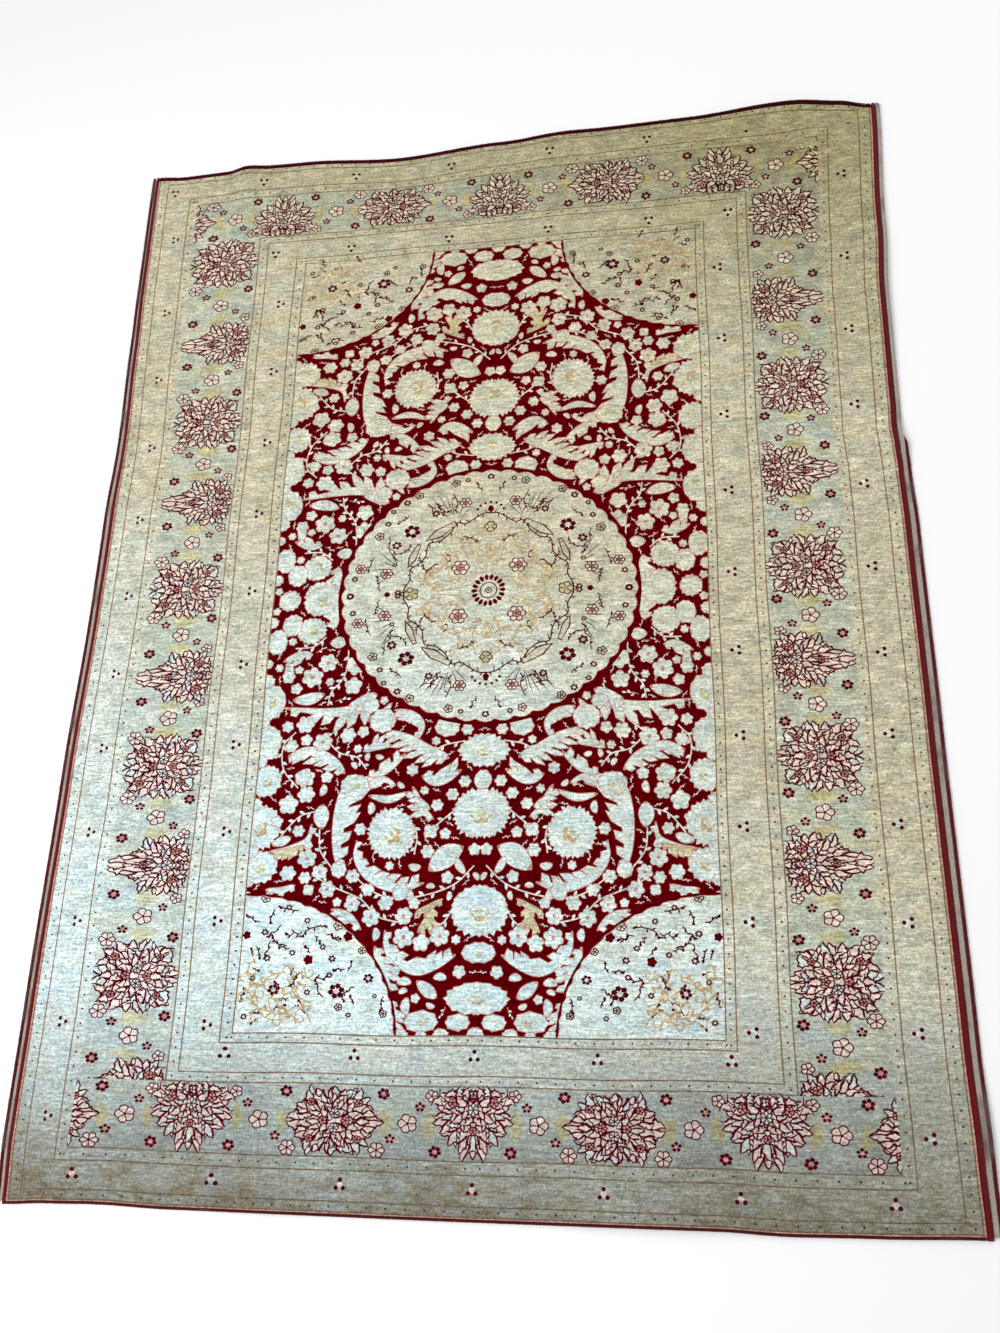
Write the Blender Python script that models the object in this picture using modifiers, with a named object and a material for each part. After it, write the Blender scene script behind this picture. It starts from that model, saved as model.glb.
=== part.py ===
"""Persian rug with a medallion field, lying flat with a few low ripples.

Metres, +Z up. The floor is z = 0. +X runs across the rug, +Y along it to the far end.
The rug is one knotted sheet. Each long side has an overcast inner cord, a strip of bare
web and an overcast outer cord, and each end has a narrow overcast binding.
Cloth places are given in u, across, and v, along, before the edges wander.
"""
import math

import bmesh
import bpy
from mathutils import Vector

# Driving sizes
PILE_HALF_WIDTH = 0.870
PILE_HALF_LENGTH = 1.215
PILE_THICKNESS = 0.0065
GAP = 0.0004

INNER_CORD_HEIGHT = 0.0062
OUTER_CORD_WIDTH = 0.0070
OUTER_CORD_HEIGHT = 0.0055
END_BINDING_WIDTH = 0.0055
END_BINDING_HEIGHT = 0.0060
END_BINDING_INSET = 0.0012
WEB_THICKNESS = 0.0012

# The edges wander only outside these lines, and the field inside stays square
FIELD_HALF_WIDTH = 0.465
FIELD_HALF_LENGTH = 0.900

# Moves the rug so that its box is centred on the origin
CENTRE_X = -0.0042
CENTRE_Y = 0.0060

# Long sides, from the near end to the far end:
# v, pile edge from the middle line, inner cord width, web width, fold of the web
LEFT_SIDE = (
    (-1.215, 0.893, 0.0090, 0.0055, 0.0),
    (-1.100, 0.898, 0.0090, 0.0055, 0.0),
    (-0.860, 0.896, 0.0090, 0.0055, 0.0),
    (-0.370, 0.890, 0.0088, 0.0060, 0.0),
    (0.000, 0.881, 0.0085, 0.0065, 0.0),
    (0.230, 0.878, 0.0085, 0.0065, 0.0),
    (0.395, 0.874, 0.0085, 0.0065, 0.0),
    (0.700, 0.882, 0.0090, 0.0045, 0.0),
    (0.880, 0.887, 0.0095, 0.0020, 0.0),
    (1.215, 0.890, 0.0095, 0.0020, 0.0),
)
RIGHT_SIDE = (
    (-1.215, 0.883, 0.0120, 0.0090, 0.0),
    (-1.100, 0.880, 0.0120, 0.0100, 0.0),
    (-0.900, 0.877, 0.0120, 0.0090, 0.0),
    (-0.300, 0.872, 0.0115, 0.0095, 0.0),
    (0.100, 0.869, 0.0115, 0.0095, 0.0),
    (0.250, 0.866, 0.0110, 0.0080, 0.0),
    (0.290, 0.863, 0.0110, 0.0085, 1.0),
    (0.340, 0.861, 0.0110, 0.0085, 2.0),
    (0.400, 0.863, 0.0110, 0.0085, 3.0),
    (0.680, 0.864, 0.0110, 0.0085, 3.0),
    (0.860, 0.873, 0.0110, 0.0085, 3.0),
    (1.215, 0.887, 0.0105, 0.0085, 3.0),
)

# Ends, from left to right: u, how far the pile's end lies from its even line
NEAR_END = (
    (-0.870, 0.002),
    (-0.790, 0.006),
    (-0.700, 0.007),
    (-0.560, 0.003),
    (0.000, 0.001),
    (0.440, 0.002),
    (0.560, -0.002),
    (0.700, 0.000),
    (0.870, 0.004),
)
FAR_END = (
    (-0.870, 0.000),
    (-0.800, -0.006),
    (-0.690, -0.003),
    (-0.640, 0.004),
    (-0.500, 0.001),
    (-0.250, -0.018),
    (0.000, -0.001),
    (0.240, 0.010),
    (0.500, 0.014),
    (0.700, 0.012),
    (0.800, 0.006),
    (0.870, -0.006),
)

# Low ripples: x, y, direction of the crest in degrees, half length, half width, height
RIPPLES = (
    (0.700, 1.240, 4.0, 0.240, 0.075, 0.0200),
    (0.765, 1.145, -18.0, 0.130, 0.050, 0.0090),
    (0.860, 0.720, 88.0, 0.360, 0.060, 0.0080),
    (0.880, 0.300, 12.0, 0.150, 0.060, 0.0070),
    (-0.650, 1.215, 84.0, 0.140, 0.060, 0.0060),
    (0.140, 1.225, 70.0, 0.170, 0.110, 0.0050),
    (-0.900, 0.260, 82.0, 0.300, 0.055, 0.0060),
    (-0.760, -1.130, 58.0, 0.200, 0.075, 0.0080),
    (-0.360, -1.190, 15.0, 0.190, 0.070, 0.0050),
    (0.330, -1.205, -6.0, 0.260, 0.070, 0.0060),
    (0.880, -1.080, 80.0, 0.170, 0.060, 0.0070),
    (-0.720, -0.520, 35.0, 0.260, 0.100, 0.0040),
    (0.700, -0.420, -28.0, 0.280, 0.110, 0.0040),
)

# Folded web in four steps, from flat to tucked over the outer cord.
# Each step has four points across the web: share of its width, height of its middle
WEB_STEPS = (
    ((0.00, 0.0026), (0.34, 0.0022), (0.67, 0.0022), (1.00, 0.0026)),
    ((0.00, 0.0066), (0.34, 0.0070), (0.67, 0.0074), (1.00, 0.0074)),
    ((0.00, 0.0066), (0.34, 0.0072), (0.67, 0.0074), (1.00, 0.0074)),
    ((0.00, 0.0066), (0.38, 0.0072), (0.82, 0.0066), (1.00, 0.0028)),
)
FOLD_CORD_SLIDES = (1.0, 2.0)

# Spacing of the cloth's lines: wide where it is flat, close at the raised corner
LINE_STEP = 0.076
CLOSE_STEP = 0.040
CLOSE_FROM_U = 0.550
CLOSE_FROM_V = 1.060
TURN_ROWS = (0.250, 0.290, 0.340, 0.400)

# Colours and finish
SILVER_GREEN = (0.50, 0.48, 0.36)
CRIMSON = (0.16, 0.010, 0.020)
DARK_CRIMSON = (0.09, 0.008, 0.014)
BARE_WEB = (0.60, 0.55, 0.52)


def ease(t):
    """Smooth step from 0 to 1."""
    t = min(max(t, 0.0), 1.0)
    return t * t * (3.0 - 2.0 * t)


def read_row(table, place):
    """Values of a table's columns at a place between its rows."""
    if place <= table[0][0]:
        return table[0][1:]
    for low, high in zip(table, table[1:]):
        if place <= high[0]:
            share = ease((place - low[0]) / (high[0] - low[0]))
            return tuple(a + (b - a) * share for a, b in zip(low[1:], high[1:]))
    return table[-1][1:]


def side_table(side):
    return LEFT_SIDE if side < 0 else RIGHT_SIDE


def bump(distance):
    """Round hump, 1 in the middle and 0 from a distance of 1."""
    return 0.5 + 0.5 * math.cos(math.pi * min(abs(distance), 1.0))


def lift(x, y):
    """Height of the rug's underside above the floor."""
    height = 0.0
    for mid_x, mid_y, degrees, half_length, half_width, top in RIPPLES:
        turn = math.radians(degrees)
        along = (x - mid_x) * math.cos(turn) + (y - mid_y) * math.sin(turn)
        across = (y - mid_y) * math.cos(turn) - (x - mid_x) * math.sin(turn)
        height += top * bump(along / half_length) * bump(across / half_width)
    return height


def lay_flat(u, v):
    """Place on the floor plan of a cloth point, before centring."""
    edge = read_row(side_table(u), v)[0]
    outer = ease((abs(u) - FIELD_HALF_WIDTH) / (PILE_HALF_WIDTH - FIELD_HALF_WIDTH))
    x = u + math.copysign(edge - PILE_HALF_WIDTH, u) * outer
    end = read_row(FAR_END if v > 0 else NEAR_END, u)[0]
    outer = ease((abs(v) - FIELD_HALF_LENGTH) / (PILE_HALF_LENGTH - FIELD_HALF_LENGTH))
    return x, v + end * outer


def place(x, y, height):
    """Point at a height over the rug's underside, with the rug centred."""
    return Vector((x - CENTRE_X, y - CENTRE_Y, lift(x, y) + height))


def body_point(u, v):
    return place(*lay_flat(u, v), 0.0)


def side_point(side, v, outward, height, past=0.0):
    """Point beside the pile's long edge, past its end by a little where asked."""
    x, y = lay_flat(side * PILE_HALF_WIDTH, v)
    return place(x + side * outward, y + past, height)


def end_point(end, u, outward):
    x, y = lay_flat(u, end * PILE_HALF_LENGTH)
    return place(x, y + end * outward, 0.0)


def inner_cord_centre(side, v):
    return GAP + 0.5 * read_row(side_table(side), v)[1]


def web_start(side, v):
    return 2.0 * GAP + read_row(side_table(side), v)[1]


def web_point(side, across, v):
    """Point on the middle layer of the web, at one of its four columns."""
    _, _, width, fold = read_row(side_table(side), v)
    step = min(int(fold), len(WEB_STEPS) - 2)
    share = ease(fold - step)
    low = WEB_STEPS[step][across]
    high = WEB_STEPS[step + 1][across]
    out = low[0] + (high[0] - low[0]) * share
    height = low[1] + (high[1] - low[1]) * share
    return side_point(side, v, web_start(side, v) + out * width, height)


def outer_cord_centre(side, v):
    """Beyond the web where that lies flat, and under it where it is tucked."""
    _, _, width, fold = read_row(side_table(side), v)
    beyond = web_start(side, v) + width + GAP + 0.5 * OUTER_CORD_WIDTH
    under = web_start(side, v) + 0.5 * OUTER_CORD_WIDTH
    share = ease((fold - FOLD_CORD_SLIDES[0]) / (FOLD_CORD_SLIDES[1] - FOLD_CORD_SLIDES[0]))
    return beyond + (under - beyond) * share


def stops(start, end, step):
    """Even stops from start to end, no further apart than the step."""
    count = math.ceil((end - start) / step - 1e-6)
    return [start + (end - start) * i / count for i in range(count + 1)]


def columns_across():
    wide = stops(-PILE_HALF_WIDTH, CLOSE_FROM_U, LINE_STEP)
    return wide + stops(CLOSE_FROM_U, PILE_HALF_WIDTH, CLOSE_STEP)[1:]


def rows_along():
    near = stops(-PILE_HALF_LENGTH, TURN_ROWS[0], LINE_STEP)
    middle = stops(TURN_ROWS[-1], CLOSE_FROM_V, LINE_STEP)
    far = stops(CLOSE_FROM_V, PILE_HALF_LENGTH, CLOSE_STEP)
    return near + list(TURN_ROWS[1:-1]) + middle + far[1:]


def material(name, colour, roughness):
    mat = bpy.data.materials.new(name)
    mat.use_nodes = True
    shader = mat.node_tree.nodes["Principled BSDF"]
    shader.inputs["Base Color"].default_value = (*colour, 1.0)
    shader.inputs["Roughness"].default_value = roughness
    return mat


def grid_mesh(name, columns, rows, point_at):
    """Grid whose vertex in column i and row j lies at point_at(column, row)."""
    bm = bmesh.new()
    across = len(columns) - 1
    along = len(rows) - 1
    bmesh.ops.create_grid(bm, x_segments=across, y_segments=along, size=1.0)
    for vert in bm.verts:
        i = round((vert.co.x + 1.0) * 0.5 * across)
        j = round((vert.co.y + 1.0) * 0.5 * along)
        vert.co = point_at(columns[i], rows[j])
    mesh = bpy.data.meshes.new(name)
    bm.to_mesh(mesh)
    bm.free()
    return mesh


def thicken_upward(mesh, thickness):
    """Turn the grid into a closed slab with upright edges."""
    bm = bmesh.new()
    bm.from_mesh(mesh)
    made = bmesh.ops.extrude_face_region(bm, geom=bm.faces[:], use_keep_orig=True)
    top = [item for item in made["geom"] if isinstance(item, bmesh.types.BMVert)]
    bmesh.ops.translate(bm, verts=top, vec=(0.0, 0.0, thickness))
    bmesh.ops.recalc_face_normals(bm, faces=bm.faces[:])
    bm.to_mesh(mesh)
    bm.free()


def add_object(name, data, mat, collection):
    obj = bpy.data.objects.new(name, data)
    data.materials.append(mat)
    collection.objects.link(obj)
    return obj


def cord_profile(name, width, height, collection):
    """Closed section of an overcast cord: flat below and round above."""
    half = 0.5 * width
    section = (
        (-1.00 * half, 0.32 * height), (-0.86 * half, 0.72 * height),
        (-0.38 * half, 1.00 * height), (0.38 * half, 1.00 * height),
        (0.86 * half, 0.72 * height), (1.00 * half, 0.32 * height),
        (0.70 * half, 0.00 * height), (-0.70 * half, 0.00 * height),
    )
    curve = bpy.data.curves.new(name, "CURVE")
    curve.dimensions = "2D"
    spline = curve.splines.new("POLY")
    spline.points.add(len(section) - 1)
    for point, (x, y) in zip(spline.points, section):
        point.co = (x, y, 0.0, 1.0)
    spline.use_cyclic_u = True
    guide = bpy.data.objects.new(name, curve)
    guide.hide_render = True
    guide.display_type = "WIRE"
    collection.objects.link(guide)
    return guide


def cord(name, points, profile, mat, collection):
    """Overcast cord along a row of points on its base."""
    curve = bpy.data.curves.new(name, "CURVE")
    curve.dimensions = "3D"
    curve.twist_mode = "Z_UP"
    curve.bevel_mode = "OBJECT"
    curve.bevel_object = profile
    curve.use_fill_caps = True
    spline = curve.splines.new("POLY")
    spline.points.add(len(points) - 1)
    for spot, point in zip(spline.points, points):
        spot.co = (*point, 1.0)
    spline.use_smooth = True
    return add_object(name, curve, mat, collection)


def side_path(side, rows, centre_at):
    """Points along a long side, run on past the pile's ends to the end bindings."""
    past = GAP + END_BINDING_WIDTH
    path = [side_point(side, rows[0], centre_at(side, rows[0]), 0.0, -past)]
    path += [side_point(side, v, centre_at(side, v), 0.0) for v in rows]
    path.append(side_point(side, rows[-1], centre_at(side, rows[-1]), 0.0, past))
    return path


def build_body(collection):
    mat = material("knotted_pile", SILVER_GREEN, 0.75)
    mesh = grid_mesh("rug_body", columns_across(), rows_along(), body_point)
    thicken_upward(mesh, PILE_THICKNESS)
    add_object("rug_body", mesh, mat, collection)


def build_side(side, word, collection, guides):
    rows = rows_along()
    crimson = material("overcast_crimson_" + word, CRIMSON, 0.6)
    dark = material("overcast_outer_" + word, DARK_CRIMSON, 0.65)
    bare = material("bare_web_" + word, BARE_WEB, 0.85)

    inner_width = min(row[2] for row in side_table(side))
    profile = cord_profile("profile_inner_" + word, inner_width, INNER_CORD_HEIGHT, guides)
    cord("inner_cord_" + word, side_path(side, rows, inner_cord_centre), profile, crimson, collection)

    mesh = grid_mesh("side_web_" + word, range(4), rows,
                     lambda across, v: web_point(side, across, v))
    web = add_object("side_web_" + word, mesh, bare, collection)
    solid = web.modifiers.new("thickness", "SOLIDIFY")
    solid.thickness = WEB_THICKNESS
    solid.offset = 0.0

    profile = cord_profile("profile_outer_" + word, OUTER_CORD_WIDTH, OUTER_CORD_HEIGHT, guides)
    cord("outer_cord_" + word, side_path(side, rows, outer_cord_centre), profile, dark, collection)


def build_end(end, word, collection, guides):
    mat = material("end_binding_" + word, DARK_CRIMSON, 0.65)
    profile = cord_profile("profile_end_" + word, END_BINDING_WIDTH, END_BINDING_HEIGHT, guides)
    outward = GAP + 0.5 * END_BINDING_WIDTH
    columns = columns_across()
    columns[0] += END_BINDING_INSET
    columns[-1] -= END_BINDING_INSET
    points = [end_point(end, u, outward) for u in columns]
    cord("end_binding_" + word, points, profile, mat, collection)


def main():
    for obj in list(bpy.data.objects):
        bpy.data.objects.remove(obj, do_unlink=True)
    rug = bpy.data.collections.new("persian_rug")
    guides = bpy.data.collections.new("guides")
    bpy.context.scene.collection.children.link(rug)
    bpy.context.scene.collection.children.link(guides)

    build_body(rug)
    for side, word in ((-1, "left"), (1, "right")):
        build_side(side, word, rug, guides)
    for end, word in ((-1, "near"), (1, "far")):
        build_end(end, word, rug, guides)


main()
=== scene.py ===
"""Looks of a persian rug: its knotted pattern, overcast cords, bare webs and bindings.

Metres, +Z up. Cloth places are given in u, across, and v, along, before the edges wander.
The weaver's drawing is in millimetres of the same two directions.
"""
import math
from functools import partial, reduce

import bmesh
import bpy
import numpy as np
from mathutils import Matrix, Vector
from mathutils.geometry import delaunay_2d_cdt


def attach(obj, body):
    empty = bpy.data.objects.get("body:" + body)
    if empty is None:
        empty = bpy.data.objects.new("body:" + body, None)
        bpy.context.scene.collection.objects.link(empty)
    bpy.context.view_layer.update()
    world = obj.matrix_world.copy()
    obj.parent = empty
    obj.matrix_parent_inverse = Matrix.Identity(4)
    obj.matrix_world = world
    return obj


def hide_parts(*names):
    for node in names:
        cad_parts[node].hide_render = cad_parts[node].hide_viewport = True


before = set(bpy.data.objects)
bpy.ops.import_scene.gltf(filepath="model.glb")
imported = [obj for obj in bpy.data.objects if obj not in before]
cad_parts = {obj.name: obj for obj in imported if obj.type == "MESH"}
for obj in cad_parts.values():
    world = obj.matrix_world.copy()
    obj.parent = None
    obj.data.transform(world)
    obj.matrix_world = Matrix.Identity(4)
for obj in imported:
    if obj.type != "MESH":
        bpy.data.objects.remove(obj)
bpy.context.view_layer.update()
BODY = "root"
MM = 0.001

# Camera of the photograph: a phone held over the near right of the rug
CAMERA_PLACE = Vector((0.4531, -1.0471, 2.3463))
CAMERA_FORWARD = Vector((-0.16304, 0.34583, -0.92402))
CAMERA_UP = Vector((0.03573, 0.93801, 0.34476))
CAMERA_LENS = 32.97

# The cloth, as the solids have it
PILE_HALF_WIDTH = 0.870
PILE_HALF_LENGTH = 1.215
PILE_THICKNESS = 0.0065
GAP = 0.0004
INNER_CORD_HEIGHT = 0.0062
OUTER_CORD_WIDTH = 0.0070
OUTER_CORD_HEIGHT = 0.0055
END_BINDING_WIDTH = 0.0055
END_BINDING_HEIGHT = 0.0060
END_BINDING_INSET = 0.0012
WEB_THICKNESS = 0.0012
FIELD_HALF_WIDTH = 0.465
FIELD_HALF_LENGTH = 0.900
CENTRE_X = -0.0042
CENTRE_Y = 0.0060

# Long sides: v, pile edge from the middle line, inner cord width, web width, fold of the web
LEFT_SIDE = (
    (-1.215, 0.893, 0.0090, 0.0055, 0.0),
    (-1.100, 0.898, 0.0090, 0.0055, 0.0),
    (-0.860, 0.896, 0.0090, 0.0055, 0.0),
    (-0.370, 0.890, 0.0088, 0.0060, 0.0),
    (0.000, 0.881, 0.0085, 0.0065, 0.0),
    (0.230, 0.878, 0.0085, 0.0065, 0.0),
    (0.395, 0.874, 0.0085, 0.0065, 0.0),
    (0.700, 0.882, 0.0090, 0.0045, 0.0),
    (0.880, 0.887, 0.0095, 0.0020, 0.0),
    (1.215, 0.890, 0.0095, 0.0020, 0.0),
)
RIGHT_SIDE = (
    (-1.215, 0.883, 0.0120, 0.0090, 0.0),
    (-1.100, 0.880, 0.0120, 0.0100, 0.0),
    (-0.900, 0.877, 0.0120, 0.0090, 0.0),
    (-0.300, 0.872, 0.0115, 0.0095, 0.0),
    (0.100, 0.869, 0.0115, 0.0095, 0.0),
    (0.250, 0.866, 0.0110, 0.0080, 0.0),
    (0.290, 0.863, 0.0110, 0.0085, 1.0),
    (0.340, 0.861, 0.0110, 0.0085, 2.0),
    (0.400, 0.863, 0.0110, 0.0085, 3.0),
    (0.680, 0.864, 0.0110, 0.0085, 3.0),
    (0.860, 0.873, 0.0110, 0.0085, 3.0),
    (1.215, 0.887, 0.0105, 0.0085, 3.0),
)

# Ends: u, how far the pile's end lies from its even line
NEAR_END = (
    (-0.870, 0.002), (-0.790, 0.006), (-0.700, 0.007), (-0.560, 0.003), (0.000, 0.001),
    (0.440, 0.002), (0.560, -0.002), (0.700, 0.000), (0.870, 0.004),
)
FAR_END = (
    (-0.870, 0.000), (-0.800, -0.006), (-0.690, -0.003), (-0.640, 0.004),
    (-0.500, 0.001), (-0.250, -0.018), (0.000, -0.001), (0.240, 0.010),
    (0.500, 0.014), (0.700, 0.012), (0.800, 0.006), (0.870, -0.006),
)

# Low ripples: x, y, direction of the crest in degrees, half length, half width, height
RIPPLES = (
    (0.700, 1.240, 4.0, 0.240, 0.075, 0.0200),
    (0.765, 1.145, -18.0, 0.130, 0.050, 0.0090),
    (0.860, 0.720, 88.0, 0.360, 0.060, 0.0080),
    (0.880, 0.300, 12.0, 0.150, 0.060, 0.0070),
    (-0.650, 1.215, 84.0, 0.140, 0.060, 0.0060),
    (0.140, 1.225, 70.0, 0.170, 0.110, 0.0050),
    (-0.900, 0.260, 82.0, 0.300, 0.055, 0.0060),
    (-0.760, -1.130, 58.0, 0.200, 0.075, 0.0080),
    (-0.360, -1.190, 15.0, 0.190, 0.070, 0.0050),
    (0.330, -1.205, -6.0, 0.260, 0.070, 0.0060),
    (0.880, -1.080, 80.0, 0.170, 0.060, 0.0070),
    (-0.720, -0.520, 35.0, 0.260, 0.100, 0.0040),
    (0.700, -0.420, -28.0, 0.280, 0.110, 0.0040),
)
# Stages of the web's fold, each as a line of four points: share of its width, height
WEB_STEPS = (
    ((0.00, 0.0026), (0.34, 0.0022), (0.67, 0.0022), (1.00, 0.0026)),
    ((0.00, 0.0066), (0.34, 0.0070), (0.67, 0.0074), (1.00, 0.0074)),
    ((0.00, 0.0066), (0.34, 0.0072), (0.67, 0.0074), (1.00, 0.0074)),
    ((0.00, 0.0066), (0.38, 0.0072), (0.82, 0.0066), (1.00, 0.0028)),
)

# How the hand-tied drawing drifts inside the pile: u, shift to the right
DRIFT_ACROSS = (
    (-0.870, 0.0000), (-0.862, -0.0030), (-0.841, -0.0050), (-0.771, -0.0130), (-0.748, -0.0120),
    (-0.668, -0.0035), (-0.588, -0.0040), (-0.566, -0.0040), (-0.490, -0.0070), (-0.468, -0.0015),
    (-0.300, 0.0040), (0.000, 0.0070), (0.300, 0.0040), (0.468, 0.0000), (0.870, 0.0000),
)
MIDDLE_DRIFT = 0.009
SLANT_DRIFT = 0.008
WOBBLE = 0.0013
EDGE_HOLD = 12
SLOPE_STEP = 0.001


# The cloth's shape

def ease(t):
    """Share of the way that starts and ends gently."""
    t = np.clip(t, 0.0, 1.0)
    return t * t * (3.0 - 2.0 * t)


def read_rows(table, places):
    """Values of a table's columns at many places between its rows."""
    rows = np.array(table, float)
    low = np.clip(np.searchsorted(rows[:, 0], places, side="right") - 1, 0, len(rows) - 2)
    share = ease((places - rows[low, 0]) / (rows[low + 1, 0] - rows[low, 0]))
    return rows[low, 1:] + (rows[low + 1, 1:] - rows[low, 1:]) * share[:, None]


def bump(distance):
    """Round hill of height 1 that ends at a distance of 1."""
    return 0.5 + 0.5 * np.cos(np.pi * np.clip(np.abs(distance), 0.0, 1.0))


def lift(x, y):
    """Height of the rug's underside above the floor."""
    height = np.zeros_like(x)
    for mid_x, mid_y, degrees, half_length, half_width, top in RIPPLES:
        turn = math.radians(degrees)
        along = (x - mid_x) * math.cos(turn) + (y - mid_y) * math.sin(turn)
        across = (y - mid_y) * math.cos(turn) - (x - mid_x) * math.sin(turn)
        height += top * bump(along / half_length) * bump(across / half_width)
    return height


def lay_flat(u, v):
    """Place on the floor plan of cloth points, before centring."""
    edge = np.where(u < 0, read_rows(LEFT_SIDE, v)[:, 0], read_rows(RIGHT_SIDE, v)[:, 0])
    outer = ease((np.abs(u) - FIELD_HALF_WIDTH) / (PILE_HALF_WIDTH - FIELD_HALF_WIDTH))
    x = u + np.sign(u) * (edge - PILE_HALF_WIDTH) * outer
    end = np.where(v > 0, read_rows(FAR_END, u)[:, 0], read_rows(NEAR_END, u)[:, 0])
    outer = ease((np.abs(v) - FIELD_HALF_LENGTH) / (PILE_HALF_LENGTH - FIELD_HALF_LENGTH))
    return x, v + end * outer


def place(x, y, height):
    """Points over the floor plan, at a height above the rug's underside."""
    return np.stack([x - CENTRE_X, y - CENTRE_Y, lift(x, y) + height], 1)


def surface_normals(x, y):
    """Upward normals of the cloth at plan points."""
    slope_x = (lift(x + SLOPE_STEP, y) - lift(x - SLOPE_STEP, y)) / (2 * SLOPE_STEP)
    slope_y = (lift(x, y + SLOPE_STEP) - lift(x, y - SLOPE_STEP)) / (2 * SLOPE_STEP)
    normals = np.stack([-slope_x, -slope_y, np.ones_like(x)], 1)
    return normals / np.linalg.norm(normals, axis=1)[:, None]


def drifted(u, v):
    """Cloth points of the drawing, shifted as the knots were tied; the pile's edge stays."""
    inside_u = 1.0 - (u / PILE_HALF_WIDTH) ** EDGE_HOLD
    inside_v = 1.0 - (v / PILE_HALF_LENGTH) ** EDGE_HOLD
    across = read_rows(DRIFT_ACROSS, u)[:, 0] + WOBBLE * np.sin(v * 15.0 + 2.0 * np.sin(u * 7.0))
    along = MIDDLE_DRIFT * bump(v / 1.0) * bump(u / 0.62)
    along = along - SLANT_DRIFT * bump(v / 1.3) * u / PILE_HALF_WIDTH
    along = along + WOBBLE * np.sin(u * 17.0 + 1.7 * np.sin(v * 6.0))
    return u + across * inside_u, v + along * inside_v


def side_table(side):
    return LEFT_SIDE if side < 0 else RIGHT_SIDE


def side_points(side, v, outward, height, past=0.0):
    """Points beside the pile's long edge."""
    x, y = lay_flat(np.full_like(v, side * PILE_HALF_WIDTH), v)
    return place(x + side * outward, y + past, height)


# The weaver's drawing: flat yarn-coloured shapes, later ones over earlier ones

YARNS = ("ground", "aqua", "ivory", "crimson", "rose", "blush", "dark", "straw", "gold",
         "line", "umber", "pearl")
EDGE_STEP = 14.0
RIM = 1.6


def with_steps(points):
    """Adds points along long edges, so that they can follow the cloth."""
    after = np.roll(points, -1, axis=0)
    counts = np.ceil(np.linalg.norm(after - points, axis=1) / EDGE_STEP).astype(int)
    if counts.max() < 2:
        return points
    return np.vstack([p + (q - p) * (np.arange(max(n, 1)) / max(n, 1))[:, None]
                      for p, q, n in zip(points, after, counts)])


def hull(points):
    """Convex outline around a few points."""
    rest = sorted(map(tuple, points))
    outline = []
    for row in (rest, rest[::-1]):
        part = []
        for p in row:
            while len(part) > 1 and ((part[-1][0] - part[-2][0]) * (p[1] - part[-2][1])
                                     <= (part[-1][1] - part[-2][1]) * (p[0] - part[-2][0])):
                part.pop()
            part.append(p)
        outline += part[:-1]
    return np.array(outline)


def is_simple(points):
    """Whether a closed outline never crosses itself."""
    after = np.roll(points, -1, axis=0)

    def side_of(p, q, r):
        ahead, aside = q - p, r - p
        return ahead[..., 0] * aside[..., 1] - ahead[..., 1] * aside[..., 0]

    start, end = points[:, None], after[:, None]
    apart = side_of(start, end, points[None]) * side_of(start, end, after[None]) < 0
    return not (apart & apart.T).any()


def band(left, right):
    """A band between two lines: one outline, or pieces where that would cross itself."""
    outline = np.vstack([left, right[::-1]])
    if is_simple(outline):
        return [outline]
    return [hull([left[i], left[i + 1], right[i + 1], right[i]]) for i in range(len(left) - 1)]


class Drawing:
    """Closed outlines with their yarns, and the zone that each one shows in."""

    def __init__(self):
        self.points = []
        self.shapes = []
        self.yarns = []
        self.zones = []
        self.zone = -1

    def shape(self, yarn, points):
        """Adds one shape and returns its number. It shows only inside the zone shape."""
        points = with_steps(np.asarray(points, float))
        x, y = points[:, 0], points[:, 1]
        if np.dot(x, np.roll(y, -1)) < np.dot(y, np.roll(x, -1)):
            points = points[::-1]
        start = len(self.points)
        self.points.extend(map(tuple, points))
        self.shapes.append(list(range(start, start + len(points))))
        self.yarns.append(YARNS.index(yarn))
        self.zones.append(self.zone)
        return len(self.shapes) - 1

    def put(self, motif, x=0.0, y=0.0, turn=0.0, flip=1):
        """Adds a motif, turned in degrees about its origin; a flip of -1 mirrors far to near."""
        c, s = math.cos(math.radians(turn)), math.sin(math.radians(turn))
        spin = np.array([[c, s], [-s, c]])
        for yarn, points in motif:
            self.shape(yarn, (points @ spin + (x, y)) * (1, flip))


def around(count):
    """Even turns of a full circle."""
    return np.arange(count) * (2 * math.pi / count)


def polar(t, reach_x, reach_y):
    return np.stack([reach_x * np.cos(t), reach_y * np.sin(t)], 1)


def circle(radius, count=8, x=0.0, y=0.0, squash=1.0):
    return polar(around(count), radius, radius * squash) + (x, y)


def lobed(radius, lobes, depth, per_lobe=4, squash=1.0):
    """Outline of a rosette: round petals with a notch between them."""
    t = around(lobes * per_lobe)
    r = radius * (1.0 - depth + depth * np.abs(np.cos(lobes * t / 2)))
    return polar(t, r, squash * r)


def toothed(half_x, half_y, teeth):
    """Outline with uneven pointed teeth."""
    rng = np.random.default_rng(teeth)
    t = (np.arange(2 * teeth) + rng.uniform(-0.35, 0.35, 2 * teeth)) * (math.pi / teeth)
    r = np.where(np.arange(2 * teeth) % 2, 0.9, 1.0) * (1.0 + rng.uniform(-0.06, 0.05, 2 * teeth))
    return polar(t, half_x * r, half_y * r)


def half_across(along, width):
    """Half a width, to the left of a direction."""
    return np.array([-along[1], along[0]]) / max(np.linalg.norm(along), 1e-6) * width / 2


def petal(base, tip, width):
    """Pointed petal from base to tip."""
    base, tip = np.array(base, float), np.array(tip, float)
    side = half_across(tip - base, width)
    belly = base + (tip - base) * 0.6
    return np.array([base - side * 0.5, belly - side, tip, belly + side, base + side * 0.5])


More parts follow.
